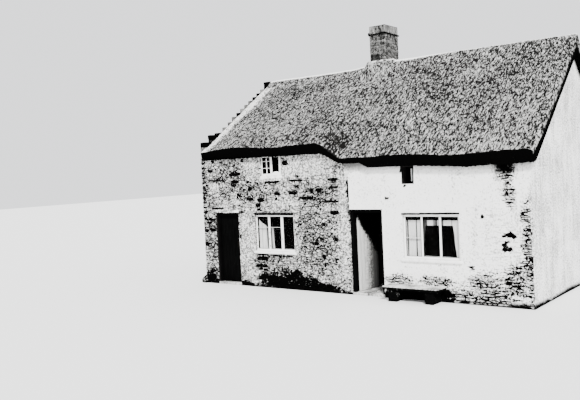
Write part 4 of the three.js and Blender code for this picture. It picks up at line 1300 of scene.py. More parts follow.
class COTTAGE_OT_parapet(CottageOperator, bpy.types.Operator):
    """Set the stepped stones of the west parapet"""
    bl_idname = "cottage.parapet"
    bl_label = "West parapet"

    def make(self):
        finish = finish_of("coping stone")
        stones = parapet_stones()
        fars = [reach for reach, top in stones[1:]] + [RIDGE]
        for side, turn in (("front", None), ("back", lambda p: p * (1, -1, 1) + (0, DEPTH, 0))):
            rng = random.Random(side)
            build = Build()
            for (reach, top), far in zip(stones, fars):
                under = top - rng.uniform(0.09, 0.13)
                tone = rng.uniform(-0.2, 0.15) if rng.random() < 0.6 else rng.uniform(0.4, 0.9)
                far = min(far + 0.03, RIDGE)
                add_block(build, (-WRAP, reach - 0.007, under), (PARAPET + 0.01, far, top),
                          0.018, 0.01, 0.06, 0.0 if reach < 0.6 else tone)
                foot = LEFT_HEAD + 0.08 + LEFT_PITCH * reach
                add_block(build, (-0.01, reach - 0.004, foot), (PARAPET + 0.008, far, under - 0.006),
                          0.016, 0.008, 0.06, rng.uniform(-0.1, 0.6))
            build.piece(f"{side}_parapet_stones", "coping", finish, turn=turn)
            dress(f"west_parapet_{side}", finish)


def fine_top(x, reach, side):
    """The thatch's outer surface with its combed straw, clumps and slow swells."""
    seed = 3 if side == "front" else 300
    near_ridge = 1 - smoothstep(reach, RIDGE - 0.5, RIDGE - 0.3)
    strokes = 0.008 * layered(x / 0.028, reach / 0.11, seed, 2)
    clumps = 0.011 * layered(x / 0.09, reach / 0.22, seed + 20, 2)
    slow = 0.014 * layered(x / 0.8, reach / 0.9, seed + 40, 2)
    ledge = np.mod((reach + 0.05 * ripple(x / 0.6, reach * 0, seed + 60)) / 0.46, 1)
    ledges = 0.008 * (1 - ledge) * (0.5 + 0.5 * ripple(x / 0.5, reach / 0.46, seed + 70))
    calm = 0.35 + 0.65 * smoothstep(x, 0.45, 0.95)
    verge = np.clip((LENGTH + VERGE - x) / 0.1, 0, 1)
    rounded = 0.06 * (1 - np.sqrt(1 - (1 - verge) ** 2))
    return thatch_top(x, reach) + (strokes + clumps) * calm + (slow + ledges) * near_ridge - rounded - 0.004


def straw_tone(x, reach):
    """How light the thatch is: bleached beside the parapet, dark where the roof drops to the right half."""
    bleached = 0.7 * (1 - smoothstep(x, 0.32, 0.56)) + 0.14 * (1 - smoothstep(x, 0.5, 1.3))
    drop = np.clip(1 - ((x - 4.12) / 0.2) ** 2, 0, 1) * (1 - smoothstep(reach, 0.0, 0.5))
    return 0.4 + bleached - 0.3 * drop + 0.1 * ripple(x / 0.5, reach / 0.4, 33)


def upright(x, ring, side="front"):
    """Points of a slice across the roof, from the reach and height of each."""
    depth = ring[:, 0] if side == "front" else DEPTH - ring[:, 0]
    return np.stack([np.full(len(ring), x), depth, ring[:, 1]], 1)


def thatch_ring(x, farthest, side, count):
    """One upright slice through the thatch: up its outside from the eave, and back down its underside."""
    reach = np.linspace(EAVE_REACH + 0.02, farthest, count)
    outside = np.stack([reach, fine_top(x, reach, side)], 1)
    drop = float(lip_drop(x))
    arris = float(fine_top(x, np.array([EAVE_REACH + 0.02]), side)[0])
    ragged = 0.010 * float(ripple(x / 0.03, 5, 90)) + 0.010 * float(ripple(x / 0.2, 9, 91))
    low = float(thatch_top(x, EAVE_REACH)) - drop + ragged
    nose = [
        (EAVE_REACH + 0.006, arris - 0.006),
        (EAVE_REACH, arris - 0.014 + 0.008 * float(ripple(x / 0.04, 7, 94))),
        (EAVE_REACH + 0.004 + 0.006 * float(ripple(x / 0.05, 1, 92)), lerp(arris - 0.03, low, 0.35)),
        (EAVE_REACH + 0.018 + 0.008 * float(ripple(x / 0.04, 2, 93)), lerp(arris - 0.03, low, 0.7)),
        (LIP_REACH, low),
    ]
    under = [0.0, 0.5, 1.15, 1.8, RIDGE - RIDGE_BAND, farthest]
    below = [(min(r, farthest), float(thatch_under(x, min(r, farthest)))) for r in under]
    ring = np.concatenate([outside[::-1], np.array(nose), np.array(below)])
    # Painted shade: the eave's nose, cut face and underside carry shade 1, which the straw finish paints
    # black.
    shade = np.concatenate([np.zeros(count), [0.2, 1, 1, 1, 1], np.ones(len(below))])
    return upright(x, ring, side), shade, straw_tone(x, ring[:, 0])


def add_loft(build, slices):
    """A closed body through slices of points, each with its shade and tone."""
    rings, shades, tones = zip(*slices)
    count = len(rings[0])
    last = (len(rings) - 1) * count
    faces = ring_sides(len(rings), count)
    faces.append(list(range(count))[::-1])
    faces.append([last + k for k in range(count)])
    build.add(np.concatenate(rings), faces, np.concatenate(tones), np.concatenate(shades))


def add_straws(build, rng, side, x0, x1, spacing, longest):
    """Loose bundle ends on the thatch: each lies down the slope, sunk at its top and lifted at its foot."""
    across, down = spacing
    marks = []
    for x in np.arange(x0 + across / 2, x1, across):
        for reach in np.arange(EAVE_REACH + 0.03, RIDGE - RIDGE_BAND + 0.1, down):
            at_x = x + rng.uniform(-0.5, 0.5) * across
            at = reach + rng.uniform(-0.4, 0.5) * down
            long = longest * rng.uniform(0.35, 1.0)
            wide = rng.uniform(0.004, 0.012)
            blocked = STACK["x0"] - 0.03 < at_x < STACK["x1"] + 0.03 and at + long > STACK["y0"] - 0.02
            if blocked or at_x - wide < x0 or at_x + wide > x1:
                continue
            lift, lean = rng.uniform(0.003, 0.013), rng.uniform(-0.25, 0.25) * long
            marks.append((at_x, at, long, wide, lift, lean, rng.random()))
    x, at, long, wide, lift, lean, chance = np.array(marks).T
    low = fine_top(x, at, side)
    high = fine_top(x + lean, at + long, side)
    corners = [
        (x - wide, at - 0.5 * lift, low + lift), (x + wide, at - 0.5 * lift, low + lift),
        (x - wide, at, low - 0.006), (x + wide, at, low - 0.006),
        (x + lean - wide * 0.5, at + long, high - 0.003), (x + lean + wide * 0.5, at + long, high - 0.003),
    ]
    stacked = np.stack([np.stack(c, 1) for c in corners], 1).reshape(-1, 3)
    if side == "back":
        stacked[:, 1] = DEPTH - stacked[:, 1]
    faces = []
    for b in range(0, len(stacked), 6):
        faces += [[b, b + 1, b + 5, b + 4], [b + 2, b + 4, b + 5, b + 3], [b, b + 2, b + 3, b + 1],
                  [b, b + 4, b + 2], [b + 1, b + 3, b + 5]]
    build.add(stacked, faces, np.repeat(straw_tone(x, at) + (chance - 0.6) * 1.2, 6))


class COTTAGE_OT_thatch(CottageOperator, bpy.types.Operator):
    """Lay the combed thatch on the four slopes"""
    bl_idname = "cottage.thatch"
    bl_label = "Thatch"

    def make(self):
        finish = finish_of("thatch")
        beside_stack = [STACK["x0"] - 0.005, STACK["x0"] - 0.001, STACK["x1"] + 0.001, STACK["x1"] + 0.005]
        for side in ("front", "back"):
            step = sizes().straw_step * (1 if side == "front" else 2)
            count = 120 if side == "front" else 56
            spacing = (0.03, 0.058) if side == "front" else (0.06, 0.1)
            for half, x0, x1, edges in (("left", PARAPET + 0.001, PARTY_RIGHT, beside_stack),
                                        ("right", PARTY_RIGHT, LENGTH + VERGE, [])):
                build = Build()
                slices = []
                for x in with_edges(np.arange(x0, x1, step), [x0, x1, *edges], 0.003):
                    behind = STACK["x0"] - 0.002 < x < STACK["x1"] + 0.002
                    slices.append(thatch_ring(x, STACK["y0"] - 0.001 if behind else RIDGE, side, count))
                add_loft(build, slices)
                if half == "left":
                    tuft = [thatch_ring(x, -0.012, side, 12) for x in np.linspace(0.165, PARAPET, 5)]
                    add_loft(build, tuft)
                rng = random.Random(f"{side} {half}")
                add_straws(build, rng, side, x0, x1, spacing, sizes().straw_length)
                build.piece(f"{half}_{side}_straw", "thatch", finish,
                            replaces=f"{half}_{side}_thatch", crease=30)


def add_ridge_cap(build, foot, pitch, x0, x1, seed):
    peak = foot + pitch * RIDGE
    offsets = np.concatenate([np.linspace(-RIDGE_BAND, -0.05, 14), [-0.02, 0.02],
                              np.linspace(0.05, RIDGE_BAND, 14)])
    off = np.abs(offsets)
    slices = []
    for x in with_edges(np.arange(x0, x1, 0.016), [x0, x1]):
        swell = 0.006 * float(ripple(x / 0.25, 1, seed)) - 0.006
        rise = 0.05 * float(smoothstep(x, 2.8, 3.6)) if x < STACK["x0"] else 0.0
        coarse = smoothstep(off, 0.08, 0.16)
        lumps = layered(np.full(len(offsets), x / 0.028), offsets / 0.07, seed + 3, 2)
        uneven = (0.003 + 0.007 * coarse) * lumps
        crown = 0.012 * (1 - np.clip(off / 0.09, 0, 1)) ** 2
        skirt = 0.045 * smoothstep(off, 0.12, RIDGE_BAND)
        top = peak - pitch * off + RIDGE_CAP + swell + rise + uneven - crown - skirt
        under = [(RIDGE_BAND, peak - pitch * RIDGE_BAND - 0.03), (0, peak - 0.02),
                 (-RIDGE_BAND, peak - pitch * RIDGE_BAND - 0.03)]
        ring = np.concatenate([np.stack([offsets, top], 1), np.array(under)])
        strip = 0.02 + 0.05 * (1 - smoothstep(x, 4.3, 6.2))
        pale = 1 - smoothstep(off, strip, strip + 0.05)
        tone = np.concatenate([lerp(0.36, 1.1, pale), [0.4, 0.4, 0.4]])
        slices.append((upright(x, ring + (RIDGE, 0)), np.zeros(len(ring)), tone))
    add_loft(build, slices)


def add_saddle(build, side):
    x0, x1 = STACK["x0"], STACK["x1"]
    spread = SADDLE["spread"]
    edges = [x0 - spread, x0 - 0.005, x0 - 0.001, x1 + 0.001, x1 + 0.005, x1 + spread]
    slices = []
    for x in with_edges(np.arange(x0 - spread, x1 + spread, 0.016), edges, 0.003):
        behind = x0 - 0.002 < x < x1 + 0.002
        reach = np.linspace(SADDLE["reach"], STACK["y0"] - 0.001 if behind else RIDGE, 40)
        thatch = thatch_top(x, reach)
        uneven = 0.008 * layered(np.full(40, x / 0.028), reach / 0.08, 15, 2)
        top = np.maximum(saddle_top(x, reach) - 0.012 + uneven, thatch - 0.02)
        below = np.stack([reach[::-13], thatch[::-13] - 0.06], 1)
        ring = np.concatenate([np.stack([reach, top], 1), below])
        near = smoothstep(ring[:, 1], SADDLE_EDGE["top"] - 0.12, SADDLE_EDGE["top"] + 0.02)
        tone = 0.42 + 0.5 * near + 0.2 * ripple(ring[:, 0] / 0.1, x / 0.1, 16)
        slices.append((upright(x, ring, side), np.zeros(len(ring)), tone))
    add_loft(build, slices)


class COTTAGE_OT_ridge(CottageOperator, bpy.types.Operator):
    """Pack the ridge, sweep its straw up round the chimney, and pin the thatch with hazel rods"""
    bl_idname = "cottage.ridge"
    bl_label = "Ridge and rods"

    def make(self):
        finish = finish_of("ridge straw")
        combed = finish_of("thatch")
        parts = (("left", LEFT_HEAD, LEFT_PITCH, PARAPET + 0.001, STACK["x0"] - 0.001, 7),
                 ("right", RIGHT_HEAD, RIGHT_PITCH, STACK["x1"] + 0.001, LENGTH + VERGE, 8))
        for name, head, pitch, x0, x1, seed in parts:
            build = Build()
            add_ridge_cap(build, head + THATCH, pitch, x0, x1, seed)
            build.piece(f"{name}_packed_ridge", "ridge_thatch", finish,
                        replaces=f"{name}_ridge_cap", crease=50)
        for side in ("front", "back"):
            build = Build()
            add_saddle(build, side)
            build.piece(f"{side}_chimney_straw", "ridge_thatch", combed,
                        replaces=f"chimney_{side}_saddle", crease=50)
        rods = Build()
        places = (((6.68, 0.83), (6.95, 0.82)), ((6.88, 0.15), (7.12, 0.155)), ((4.05, 0.42), (4.4, 0.27)),
                  ((4.12, 0.08), (4.14, 0.34)), ((4.24, 0.05), (4.26, 0.3)), ((4.03, 0.02), (4.06, 0.25)))
        rng = random.Random(14)
        strokes = []
        for k in range(18):
            x = 0.032 * k
            strokes.append(((3.8 + x, rng.uniform(0.0, 0.08)), (3.83 + x, rng.uniform(0.2, 0.4))))
        for start, end in [*places, *strokes]:
            ends = [(x, reach, float(fine_top(x, np.array([reach]), "front")[0]) + 0.01)
                    for x, reach in (start, end)]
            add_tube(rods, ends[0], ends[1], 0.012 if (start, end) in places else 0.007)
        rods.piece("thatch_rods", "roof_timber", finish_of("hazel rod"))


def broken_lengths(rng, start, end, usual):
    while start < end - 1e-6:
        stop = start + usual * rng.uniform(0.7, 1.3)
        if end - stop < usual * 0.4:
            stop = end
        yield start + 0.001, stop - 0.001
        start = stop


def lay_chimney_band(finish):
    """Thin slates laid round the stack, broken unevenly."""
    build = Build()
    rng = random.Random(80)
    low, high = STACK["shoulder"] + 0.001, STACK["shoulder"] + BAND_HEIGHT
    x0, x1 = STACK["x0"] - BAND_PROUD - 0.004, STACK["x1"] + BAND_PROUD + 0.004
    y0, y1 = STACK["y0"] - BAND_PROUD - 0.004, STACK["y1"] + BAND_PROUD + 0.004
    inner = 0.06
    for start, end in broken_lengths(rng, x0, x1, 0.16):
        for near, far in ((y0, y0 + inner), (y1 - inner, y1)):
            top = high + rng.uniform(-0.004, 0.012)
            add_block(build, (start, near, low), (end, far, top), 0.007, 0.004, 0.05, rng.uniform(-0.2, 0.1))
    for start, end in broken_lengths(rng, y0 + inner, y1 - inner, 0.18):
        for near, far in ((x0, x0 + inner), (x1 - inner, x1)):
            top = high + rng.uniform(-0.004, 0.006)
            add_block(build, (near, start, low), (far, end, top), 0.007, 0.004, 0.05, rng.uniform(-0.2, 0.1))
    lump_top = 6.09
    add_block(build, (x0 - 0.006, y0 - 0.004, low), (STACK["x0"] + 0.01, y0 + 0.08, lump_top),
              0.014, 0.008, 0.03, -0.2)
    build.piece("chimney_slates", "chimney_stone", finish)


class COTTAGE_OT_chimney(CottageOperator, bpy.types.Operator):
    """Build up the chimney's stones, drip band and cap course"""
    bl_idname = "cottage.chimney"
    bl_label = "Chimney"

    def make(self):
        finish = finish_of("sooty stone")
        x0, x1, y0, y1 = (STACK[key] for key in ("x0", "x1", "y0", "y1"))
        sides = [
            (Face((x0, y0, 0), (1, 0, 0), (0, -1, 0)), x1 - x0),
            (Face((x0, y1, 0), (1, 0, 0), (0, 1, 0)), x1 - x0),
            (Face((x1, y0, 0), (0, 1, 0), (1, 0, 0)), y1 - y0),
            (Face((x0, y0, 0), (0, 1, 0), (-1, 0, 0)), y1 - y0),
        ]
        build = Build()
        for number, (face, wide) in enumerate(sides):
            for seed, course, length, low, high in (
                    (60, 0.07, 0.12, 5.25, STACK["shoulder"]),
                    (70, 0.2, 0.16, STACK["shoulder"] + BAND_HEIGHT, STACK["top"] - 0.004)):
                tone = cap_tone if low > STACK["shoulder"] else plain_tone
                courses = Rubble(seed + number, course, length, 0.009, 0.009, bed=0.006, tone=tone)
                courses.lay(build, face, (-0.006, low), (wide + 0.006, high))
        build.piece("chimney_stones", "chimney_stone", finish)
        for node in ("chimney_stack", "chimney_cap", "chimney_band"):
            dress(node, finish_of("sooty bed"))
        lay_chimney_band(finish_of("coping stone"))


class COTTAGE_OT_timbers(CottageOperator, bpy.types.Operator):
    """Finish the roof timbers and the floors"""
    bl_idname = "cottage.timbers"
    bl_label = "Roof timbers and floors"

    def make(self):
        poles = finish_of("roof timber")
        for half in ("left", "right"):
            for side in ("front", "back"):
                dress(f"{half}_{side}_rafters", poles)
            dress(f"{half}_chamber_floor", finish_of("floor boards"))
            dress(f"{half}_ground_floor", finish_of("flagstone"))
            dress(f"{half}_door_sill", finish_of("flagstone"), 0.006)


def leaf_back(door):
    return door["y0"] + DOOR_FRAME_DEPTH + DOOR_SEAT


def hinge_pin(door):
    """Where a door's hinge pins stand in the plan."""
    return door["x0"] + door["post0"] - HINGE_PIN["aside"], leaf_back(door) + HINGE_PIN["behind"]


def turned_about(door):
    """Moves points drawn with the leaf shut to where it stands, about its hinge pins."""
    x, y = hinge_pin(door)
    turn = math.radians(door["open"])
    across = np.array([[math.cos(turn), -math.sin(turn)], [math.sin(turn), math.cos(turn)]])

    def move(points):
        moved = points.copy()
        moved[:, :2] = (points[:, :2] - (x, y)) @ across.T + (x, y)
        return moved
    return move


def knuckle(build, x, y, z):
    """The eye of a strap hinge, a ring round its pin."""
    sides = 16
    inner, outer = 0.0085, 0.012
    turns = np.arange(sides) * 2 * np.pi / sides
    rings = []
    for radius, height in ((outer, z + 0.0003), (outer, z + 0.044), (inner, z + 0.044), (inner, z + 0.0003)):
        across, away = x + radius * np.cos(turns), y + radius * np.sin(turns)
        rings.append(np.stack([across, away, np.full(sides, height)], 1))
    build.add(np.concatenate(rings), ring_sides(4, sides, closed=True))


def hang_leaf(side, door, finish, slot):
    rng = random.Random(side)
    x0 = door["x0"] + door["post0"] + DOOR_GAP / 2
    x1 = door["x1"] - door["post1"] - DOOR_GAP
    back = leaf_back(door)
    foot, top = FLAGS + DOOR_GAP, door["head"] - DOOR_HEAD - DOOR_GAP
    planks = 6
    wide = (x1 - x0) / planks
    build = Build()
    for k in range(planks):
        left = x0 + k * wide
        set_back = rng.uniform(0, 0.002)
        add_block(build, (left + 0.001, back - 0.032 + set_back, foot), (left + wide - 0.001, back, top),
                  0.003, 0.0015, 0.12, rng.random())
    levels = (foot + 0.250, door["head"] - DOOR_HEAD - 0.300)
    for z in levels:
        add_block(build, (x0 + 0.06, back - 0.001, z + 0.052), (x1 - 0.06, back + 0.024, z + 0.162),
                  0.005, 0.001, 0.15, 0.4)
    build.piece(f"{side}_door_planks", slot, finish, f"{side}_door_leaf", turn=turned_about(door),
                body=f"{side}_door")
    metal = Build()
    pin_x, pin_y = hinge_pin(door)
    for z in levels:
        add_block(metal, (pin_x, back - 0.0005, z + 0.0003), (pin_x + 0.4, back + 0.006, z + 0.044),
                  0.002, 0.0, 0.1)
        knuckle(metal, pin_x, pin_y, z)
        for k in range(5):
            x = pin_x + 0.06 + k * 0.08
            add_tube(metal, (x, back, z + 0.022), (x, back + 0.009, z + 0.022), 0.007)
    latch_z = 0.98
    add_block(metal, (x1 - 0.15, back - 0.0005, latch_z), (x1 - 0.01, back + 0.008, latch_z + 0.03), 0.002)
    add_block(metal, (x1 - 0.1, back - 0.045, latch_z - 0.05), (x1 - 0.075, back - 0.031, latch_z + 0.09),
              0.004)
    metal.piece(f"{side}_door_ironwork", slot, finish_of("door iron"), turn=turned_about(door),
                body=f"{side}_door")


class COTTAGE_OT_doors(CottageOperator, bpy.types.Operator):
    """Hang the plank doors in their frames"""
    bl_idname = "cottage.doors"
    bl_label = "Doors"

    def make(self):
        tarred = finish_of("tarred wood")
        pale = finish_of("door paint")
        for side, door, finish, slot in (("left", LEFT_DOOR, tarred, "tarred_timber"),
                                         ("right", RIGHT_DOOR, pale, "pale_door")):
            hang_leaf(side, door, finish, slot)
            dress(f"{side}_door_frame", tarred, 0.004)


def add_window(build, opening, lights, bars, y, bead=0.006, painted_shade_head=False):
    """Posts, rails, glazing bars and the bead round each light of one window."""
    x0, x1, z0, z1 = opening
    back = y + FRAME_DEPTH
    first = len(build.points)
    posts = [x0] + [edge for light in lights for edge in light[:2]] + [x1]
    for left, right in zip(posts[0::2], posts[1::2]):
        add_block(build, (left, y, z0), (right, back, z1), **SAWN)
    for left, right, low, high in lights:
        add_block(build, (left - 0.004, y + 0.001, z0), (right + 0.004, back, low), **SAWN)
        add_block(build, (left - 0.004, y + 0.001, high), (right + 0.004, back, z1), **SAWN)
        inner = y + 0.022
        for x in (left - 0.002, right - bead + 0.002):
            add_block(build, (x, inner, low - 0.002), (x + bead, back - 0.001, high + 0.002), 0.002)
        for z in (low - 0.002, high - bead + 0.002):
            add_block(build, (left, inner, z), (right, back - 0.001, z + bead), 0.002)
    for left, right, low, high in bars:
        add_block(build, (left - 0.004, y + 0.008, low), (right + 0.004, y + 0.02, high), 0.003)
        add_block(build, (left - 0.004, y + 0.019, low + 0.001), (right + 0.004, back - 0.001, high - 0.001),
                  0.002)
    # Painted shade: a point's shade is how deep it lies behind the frame's front, and a head rail under the
    # eave gets full shade; the white paint turns both black.
    for k in range(first, len(build.points)):
        points = build.points[k]
        build.shade[k] = np.clip((points[:, 1] - y) / FRAME_DEPTH, 0, 1)
        if painted_shade_head and points[:, 2].min() > max(light[3] for light in lights) - 0.001:
            build.shade[k] = np.ones(len(points))


def fit_latches():
    """The small turn buttons and hinges of the left window's casements."""
    build = Build()
    for x, z in ((1.728, 1.0), (1.728, 1.32), (2.1, 1.17), (2.126, 1.0), (2.126, 1.32), (2.49, 1.17)):
        add_block(build, (x - 0.006, FRAME_Y - 0.008, z - 0.02), (x + 0.006, FRAME_Y + 0.004, z + 0.02),
                  0.003)
    build.piece("left_lower_window_latches", "tarred_timber", finish_of("door iron"))


def set_sills():
    finish = finish_of("limewashed stone")
    for name, opening in (("left_lower_window", LEFT_LOWER), ("right_lower_window", RIGHT_LOWER)):
        x0, x1, z0 = opening[:3]
        build = Build()
        add_block(build, (x0 - SILL_HORN, -SILL_PROUD, z0 - SILL_HEIGHT), (x1 + SILL_HORN, 0.02, z0),
                  0.012, 0.004, 0.07)
        add_block(build, (x0 + 0.002, 0.0, z0 - 0.058), (x1 - 0.002, FRONT, z0 - 0.002), 0.006, 0.002, 0.09)
        build.piece(f"{name}_stone_sill", "limewash", finish, replaces=f"{name}_sill")
    mound = Build()

    def humped(points):
        share = np.clip(1 - ((points[:, 0] - 2.41) / 0.12) ** 2, 0, 1)
        points[:, 2] += np.where(points[:, 2] > 2.69, 0.055 * share, 0)
        return points

    add_block(mound, (2.295, -0.006, 2.655), (2.525, 0.05, 2.712), 0.01, 0.004, 0.02, bend=humped)
    add_block(mound, (1.93, -0.018, 2.605), (2.61, 0.02, 2.672), 0.012, 0.005, 0.04)
    mound.piece("left_upper_window_mortar", "limewash", finish)
    lintel = Build()
    add_block(lintel, (0.4, -0.014, 1.797), (1.24, 0.02, 1.86), 0.014, 0.007, 0.05)
    lintel.piece("left_door_lintel", "limewash", finish)


def fit_drip_boards():
    """Dark boards over the lower windows' heads, and the small iron plate beside the right door."""
    build = Build()
    for x0, x1 in ((1.695, 2.07), (2.075, 2.5), (2.505, 2.895)):
        add_block(build, (x0, -0.034, 1.738), (x1, 0.03, 1.79), 0.01, 0.012, 0.03)
    for x0, x1, lift in ((5.7, 6.13, 0.0), (6.12, 6.57, 0.005), (6.56, 6.985, 0.01)):
        add_block(build, (x0, -0.034, 1.758 + lift), (x1, 0.01, 1.794 + lift), 0.006, 0.005, 0.03)
    # The boards are tarred, and their black also paints the shadow they cast over the window heads.
    build.piece("window_drip_boards", "tarred_timber", finish_of("weathered tar"))
    plate = Build()
    add_block(plate, (5.33, -0.028, 2.085), (5.42, 0.006, 2.125), 0.004, 0.003, 0.03)
    add_block(plate, (5.345, -0.034, 2.075), (5.36, 0.0, 2.135), 0.003)
    plate.piece("wall_iron", "tarred_timber", finish_of("door iron"))


class COTTAGE_OT_front_windows(CottageOperator, bpy.types.Operator):
    """Fit the four front windows, their glass, drip boards and sills"""
    bl_idname = "cottage.front_windows"
    bl_label = "Front windows"

    def make(self):
        paint = finish_of("white paint")
        tarred = finish_of("tarred wood")
        pane = finish_of("old glass")
        windows = (
            ("left_lower_window", LEFT_LOWER, LEFT_LOWER_LIGHTS, LEFT_LOWER_BARS, FRAME_Y, paint),
            ("right_lower_window", RIGHT_LOWER, RIGHT_LOWER_LIGHTS, RIGHT_LOWER_BARS, FRAME_Y, paint),
            ("left_upper_window", LEFT_UPPER, LEFT_UPPER_LIGHTS, LEFT_UPPER_BARS, UPPER_FRAME_Y, paint),
            # The right upper window's frame is tarred black, and its black also stands in for the thatch's
            # shade over it.
            ("right_upper_window", RIGHT_UPPER, RIGHT_UPPER_LIGHTS, [], DEEP_FRAME_Y, tarred),
        )
        for name, opening, lights, bars, y, finish in windows:
            build = Build()
            add_window(build, opening, lights, bars, y, painted_shade_head="upper" in name)
            build.piece(f"{name}_joinery", "white_paint", finish, replaces=f"{name}_frame")
            dress(f"{name}_glass", pane)
        stile = Build()
        x0, x1, z0, z1 = RIGHT_UPPER_STILE
        add_block(stile, (x0, DEEP_FRAME_Y - 0.002, z0), (x1, DEEP_FRAME_Y + 0.02, z1), 0.004, 0.0008, 0.1)
        stile.piece("right_upper_window_stile", "white_paint", paint)
        fit_latches()
        set_sills()
        fit_drip_boards()


class COTTAGE_OT_back_windows(CottageOperator, bpy.types.Operator):
    """Fit the four back windows and their sills"""
    bl_idname = "cottage.back_windows"
    bl_label = "Back windows"

    def make(self):
        paint = finish_of("white paint")
        sill = finish_of("limewashed stone")
        pane = finish_of("old glass")
        post = 0.055
        outer = DEPTH - BACK_FRAME_Y
        inner = outer - FRAME_DEPTH
        for name, opening, count in BACK_WINDOWS:
            x0, x1, z0, z1 = opening
            wide = (x1 - x0 - post * (count + 1)) / count
            starts = [x0 + post + k * (wide + post) for k in range(count)]
            lights = [(start, start + wide, z0 + post, z1 - post) for start in starts]
            bars = [(a, b, (c + d) / 2 - 0.01, (c + d) / 2 + 0.01) for a, b, c, d in lights]
            build = Build()
            add_window(build, opening, lights, bars, 0.0)
            build.piece(f"{name}_joinery", "white_paint", paint, replaces=f"{name}_window",
                        turn=lambda p: np.stack([p[:, 0], outer - p[:, 1], p[:, 2]], 1))
            panes = Build()
            for left, right, bottom, top in lights:
                add_block(panes, (left - 0.01, inner + 0.006, bottom - 0.01),
                          (right + 0.01, inner + 0.01, top + 0.01), 0.001)
            panes.piece(f"{name}_panes", "window_glass", pane)
            if "lower" in name:
                ledge = Build()
                add_block(ledge, (x0 + 0.001, DEPTH - FRONT, z0 - 0.058),
                          (x1 - 0.001, DEPTH + 0.048, z0 - 0.001), 0.01, 0.004, 0.08)
                ledge.piece(f"{name}_stone_sill", "limewash", sill)


def hang_curtain(name, finish, span, low, high, pleats, node):
    """A pleated sheet that hangs from its top edge: its folds are deeper at the foot."""
    columns = pleats * 9
    rows = 26
    x = np.linspace(*span, columns)
    phase = np.linspace(0, pleats * 2 * np.pi, columns) + 1.2 * layered(x / 0.11, 0 * x, 17, 2)
    grid_x, grid_t = np.meshgrid(x, np.linspace(0, 1, rows), indexing="ij")
    grid_z = lerp(low(grid_x), high(grid_x), grid_t)
    uneven = 0.75 + 0.25 * layered(grid_x / 0.06, grid_z / 0.3, 19, 2)
    depth = sizes().pleat * lerp(1.0, 0.55, grid_t) * uneven
    y = CLOTH_Y + depth * np.sin(phase)[:, None] + 0.001 * layered(grid_x / 0.03, grid_z / 0.12, 21, 2)
    # Painted shade: dark streaks down the cloth stand for the shade in its folds.
    painted_fold_shade = layered(grid_x / 0.034, grid_z / 1.4, 23, 2)
    tone = (1 - smoothstep(painted_fold_shade, 0.1, 0.5)).ravel()
    outer = np.stack([grid_x, y - 0.0008, grid_z], -1).reshape(-1, 3)
    inner = np.stack([grid_x, y + 0.0008, grid_z], -1).reshape(-1, 3)
    build = Build()
    faces = sheet_faces(np.ones((columns - 1, rows - 1), bool))
    build.add(np.concatenate([outer, inner]), faces, np.tile(tone, 2))
    made = build.piece(name, "curtain_cloth", finish, replaces=node, crease=70)


class COTTAGE_OT_curtains(CottageOperator, bpy.types.Operator):
    """Hang the curtains behind the two lower windows"""
    bl_idname = "cottage.curtains"
    bl_label = "Curtains"

    def make(self):
        finish = finish_of("cotton")
        left_top = lambda x: np.interp(x, [1.748, 1.77, 1.8, 2.01, 2.18, 2.19, 2.204],
                                       [1.638, 1.604, 1.572, 1.45, 1.43, 1.3, 0.93])
        left_low = lambda x: 0.896 + 0 * x
        hang_curtain("left_window_cotton", finish, (1.748, 2.204), left_low, left_top, 14,
                     "left_window_curtain")
        right_low = lambda x: np.interp(x, [5.748, 6.128, 6.15, 6.19, 6.795, 6.825, 6.857, 6.942],
                                        [0.866, 0.866, 1.2, 1.532, 1.532, 1.2, 0.866, 0.866])
        right_top = lambda x: 1.637 + 0 * x
        hang_curtain("right_window_cotton", finish, (5.748, 6.942), right_low, right_top, 36,
                     "right_window_curtain")
        rods = Build()
        add_tube(rods, (1.76, CLOTH_Y, 1.642), (2.83, CLOTH_Y, 1.642), 0.004)
        add_tube(rods, (5.76, CLOTH_Y, 1.642), (6.93, CLOTH_Y, 1.642), 0.004)
        rods.piece("curtain_rods", "curtain_cloth", finish_of("door iron"))


def set_boulder():
    count, rows = 24, 14
    turns = np.arange(count) * 2 * np.pi / count
    slices = []
    for row in range(rows):
        tilt = math.pi / 2 * row / (rows - 1)
        z = 0.228 * math.sin(tilt)
        wide = max(math.cos(tilt), 0.02)
        x, y = -0.285 * wide * np.cos(turns), 0.17 + 0.255 * wide * np.sin(turns)
        lumps = np.array([noise.fractal(Vector((a * 6, b * 6, z * 6)), 0.8, 2.0, 3) for a, b in zip(x, y)])
        shrink = 1 - 0.05 + 0.06 * lumps
        ring = np.stack([np.minimum(x * shrink, 0.02), 0.17 + (y - 0.17) * shrink,
                         np.full(count, max(z * (1 - 0.02 * row / rows), 0.0))], 1)
        slices.append((ring, np.zeros(count), np.full(count, 0.2)))
    build = Build()
    add_loft(build, slices)
    build.piece("corner_stone", "rubble", finish_of("rubble stone"), replaces="corner_boulder")


class COTTAGE_OT_outside(CottageOperator, bpy.types.Operator):
    """Set the stone bench and the corner boulder"""
    bl_idname = "cottage.outside"
    bl_label = "Bench and boulder"

    def make(self):
        seat = finish_of("bench seat")
        legs = finish_of("bench legs")
        low = BENCH["top"] - BENCH["thick"]
        build = Build()
        add_block(build, (BENCH["x0"], BENCH["y0"], low), (BENCH["x1"], 0.0, BENCH["top"]),
                  0.014, 0.007, 0.07)
        build.piece("bench_seat", "flagstone", seat, replaces="bench_slab")
        for name, x0 in BENCH_LEGS.items():
            build = Build()
            add_block(build, (x0, BENCH_LEG["y0"], 0.0), (x0 + BENCH_LEG["wide"], 0.0, low + 0.003),
                      0.018, 0.01, 0.06)
            build.piece(f"bench_{name}_foot", "flagstone", legs, replaces=f"bench_{name}_stone")
        set_boulder()


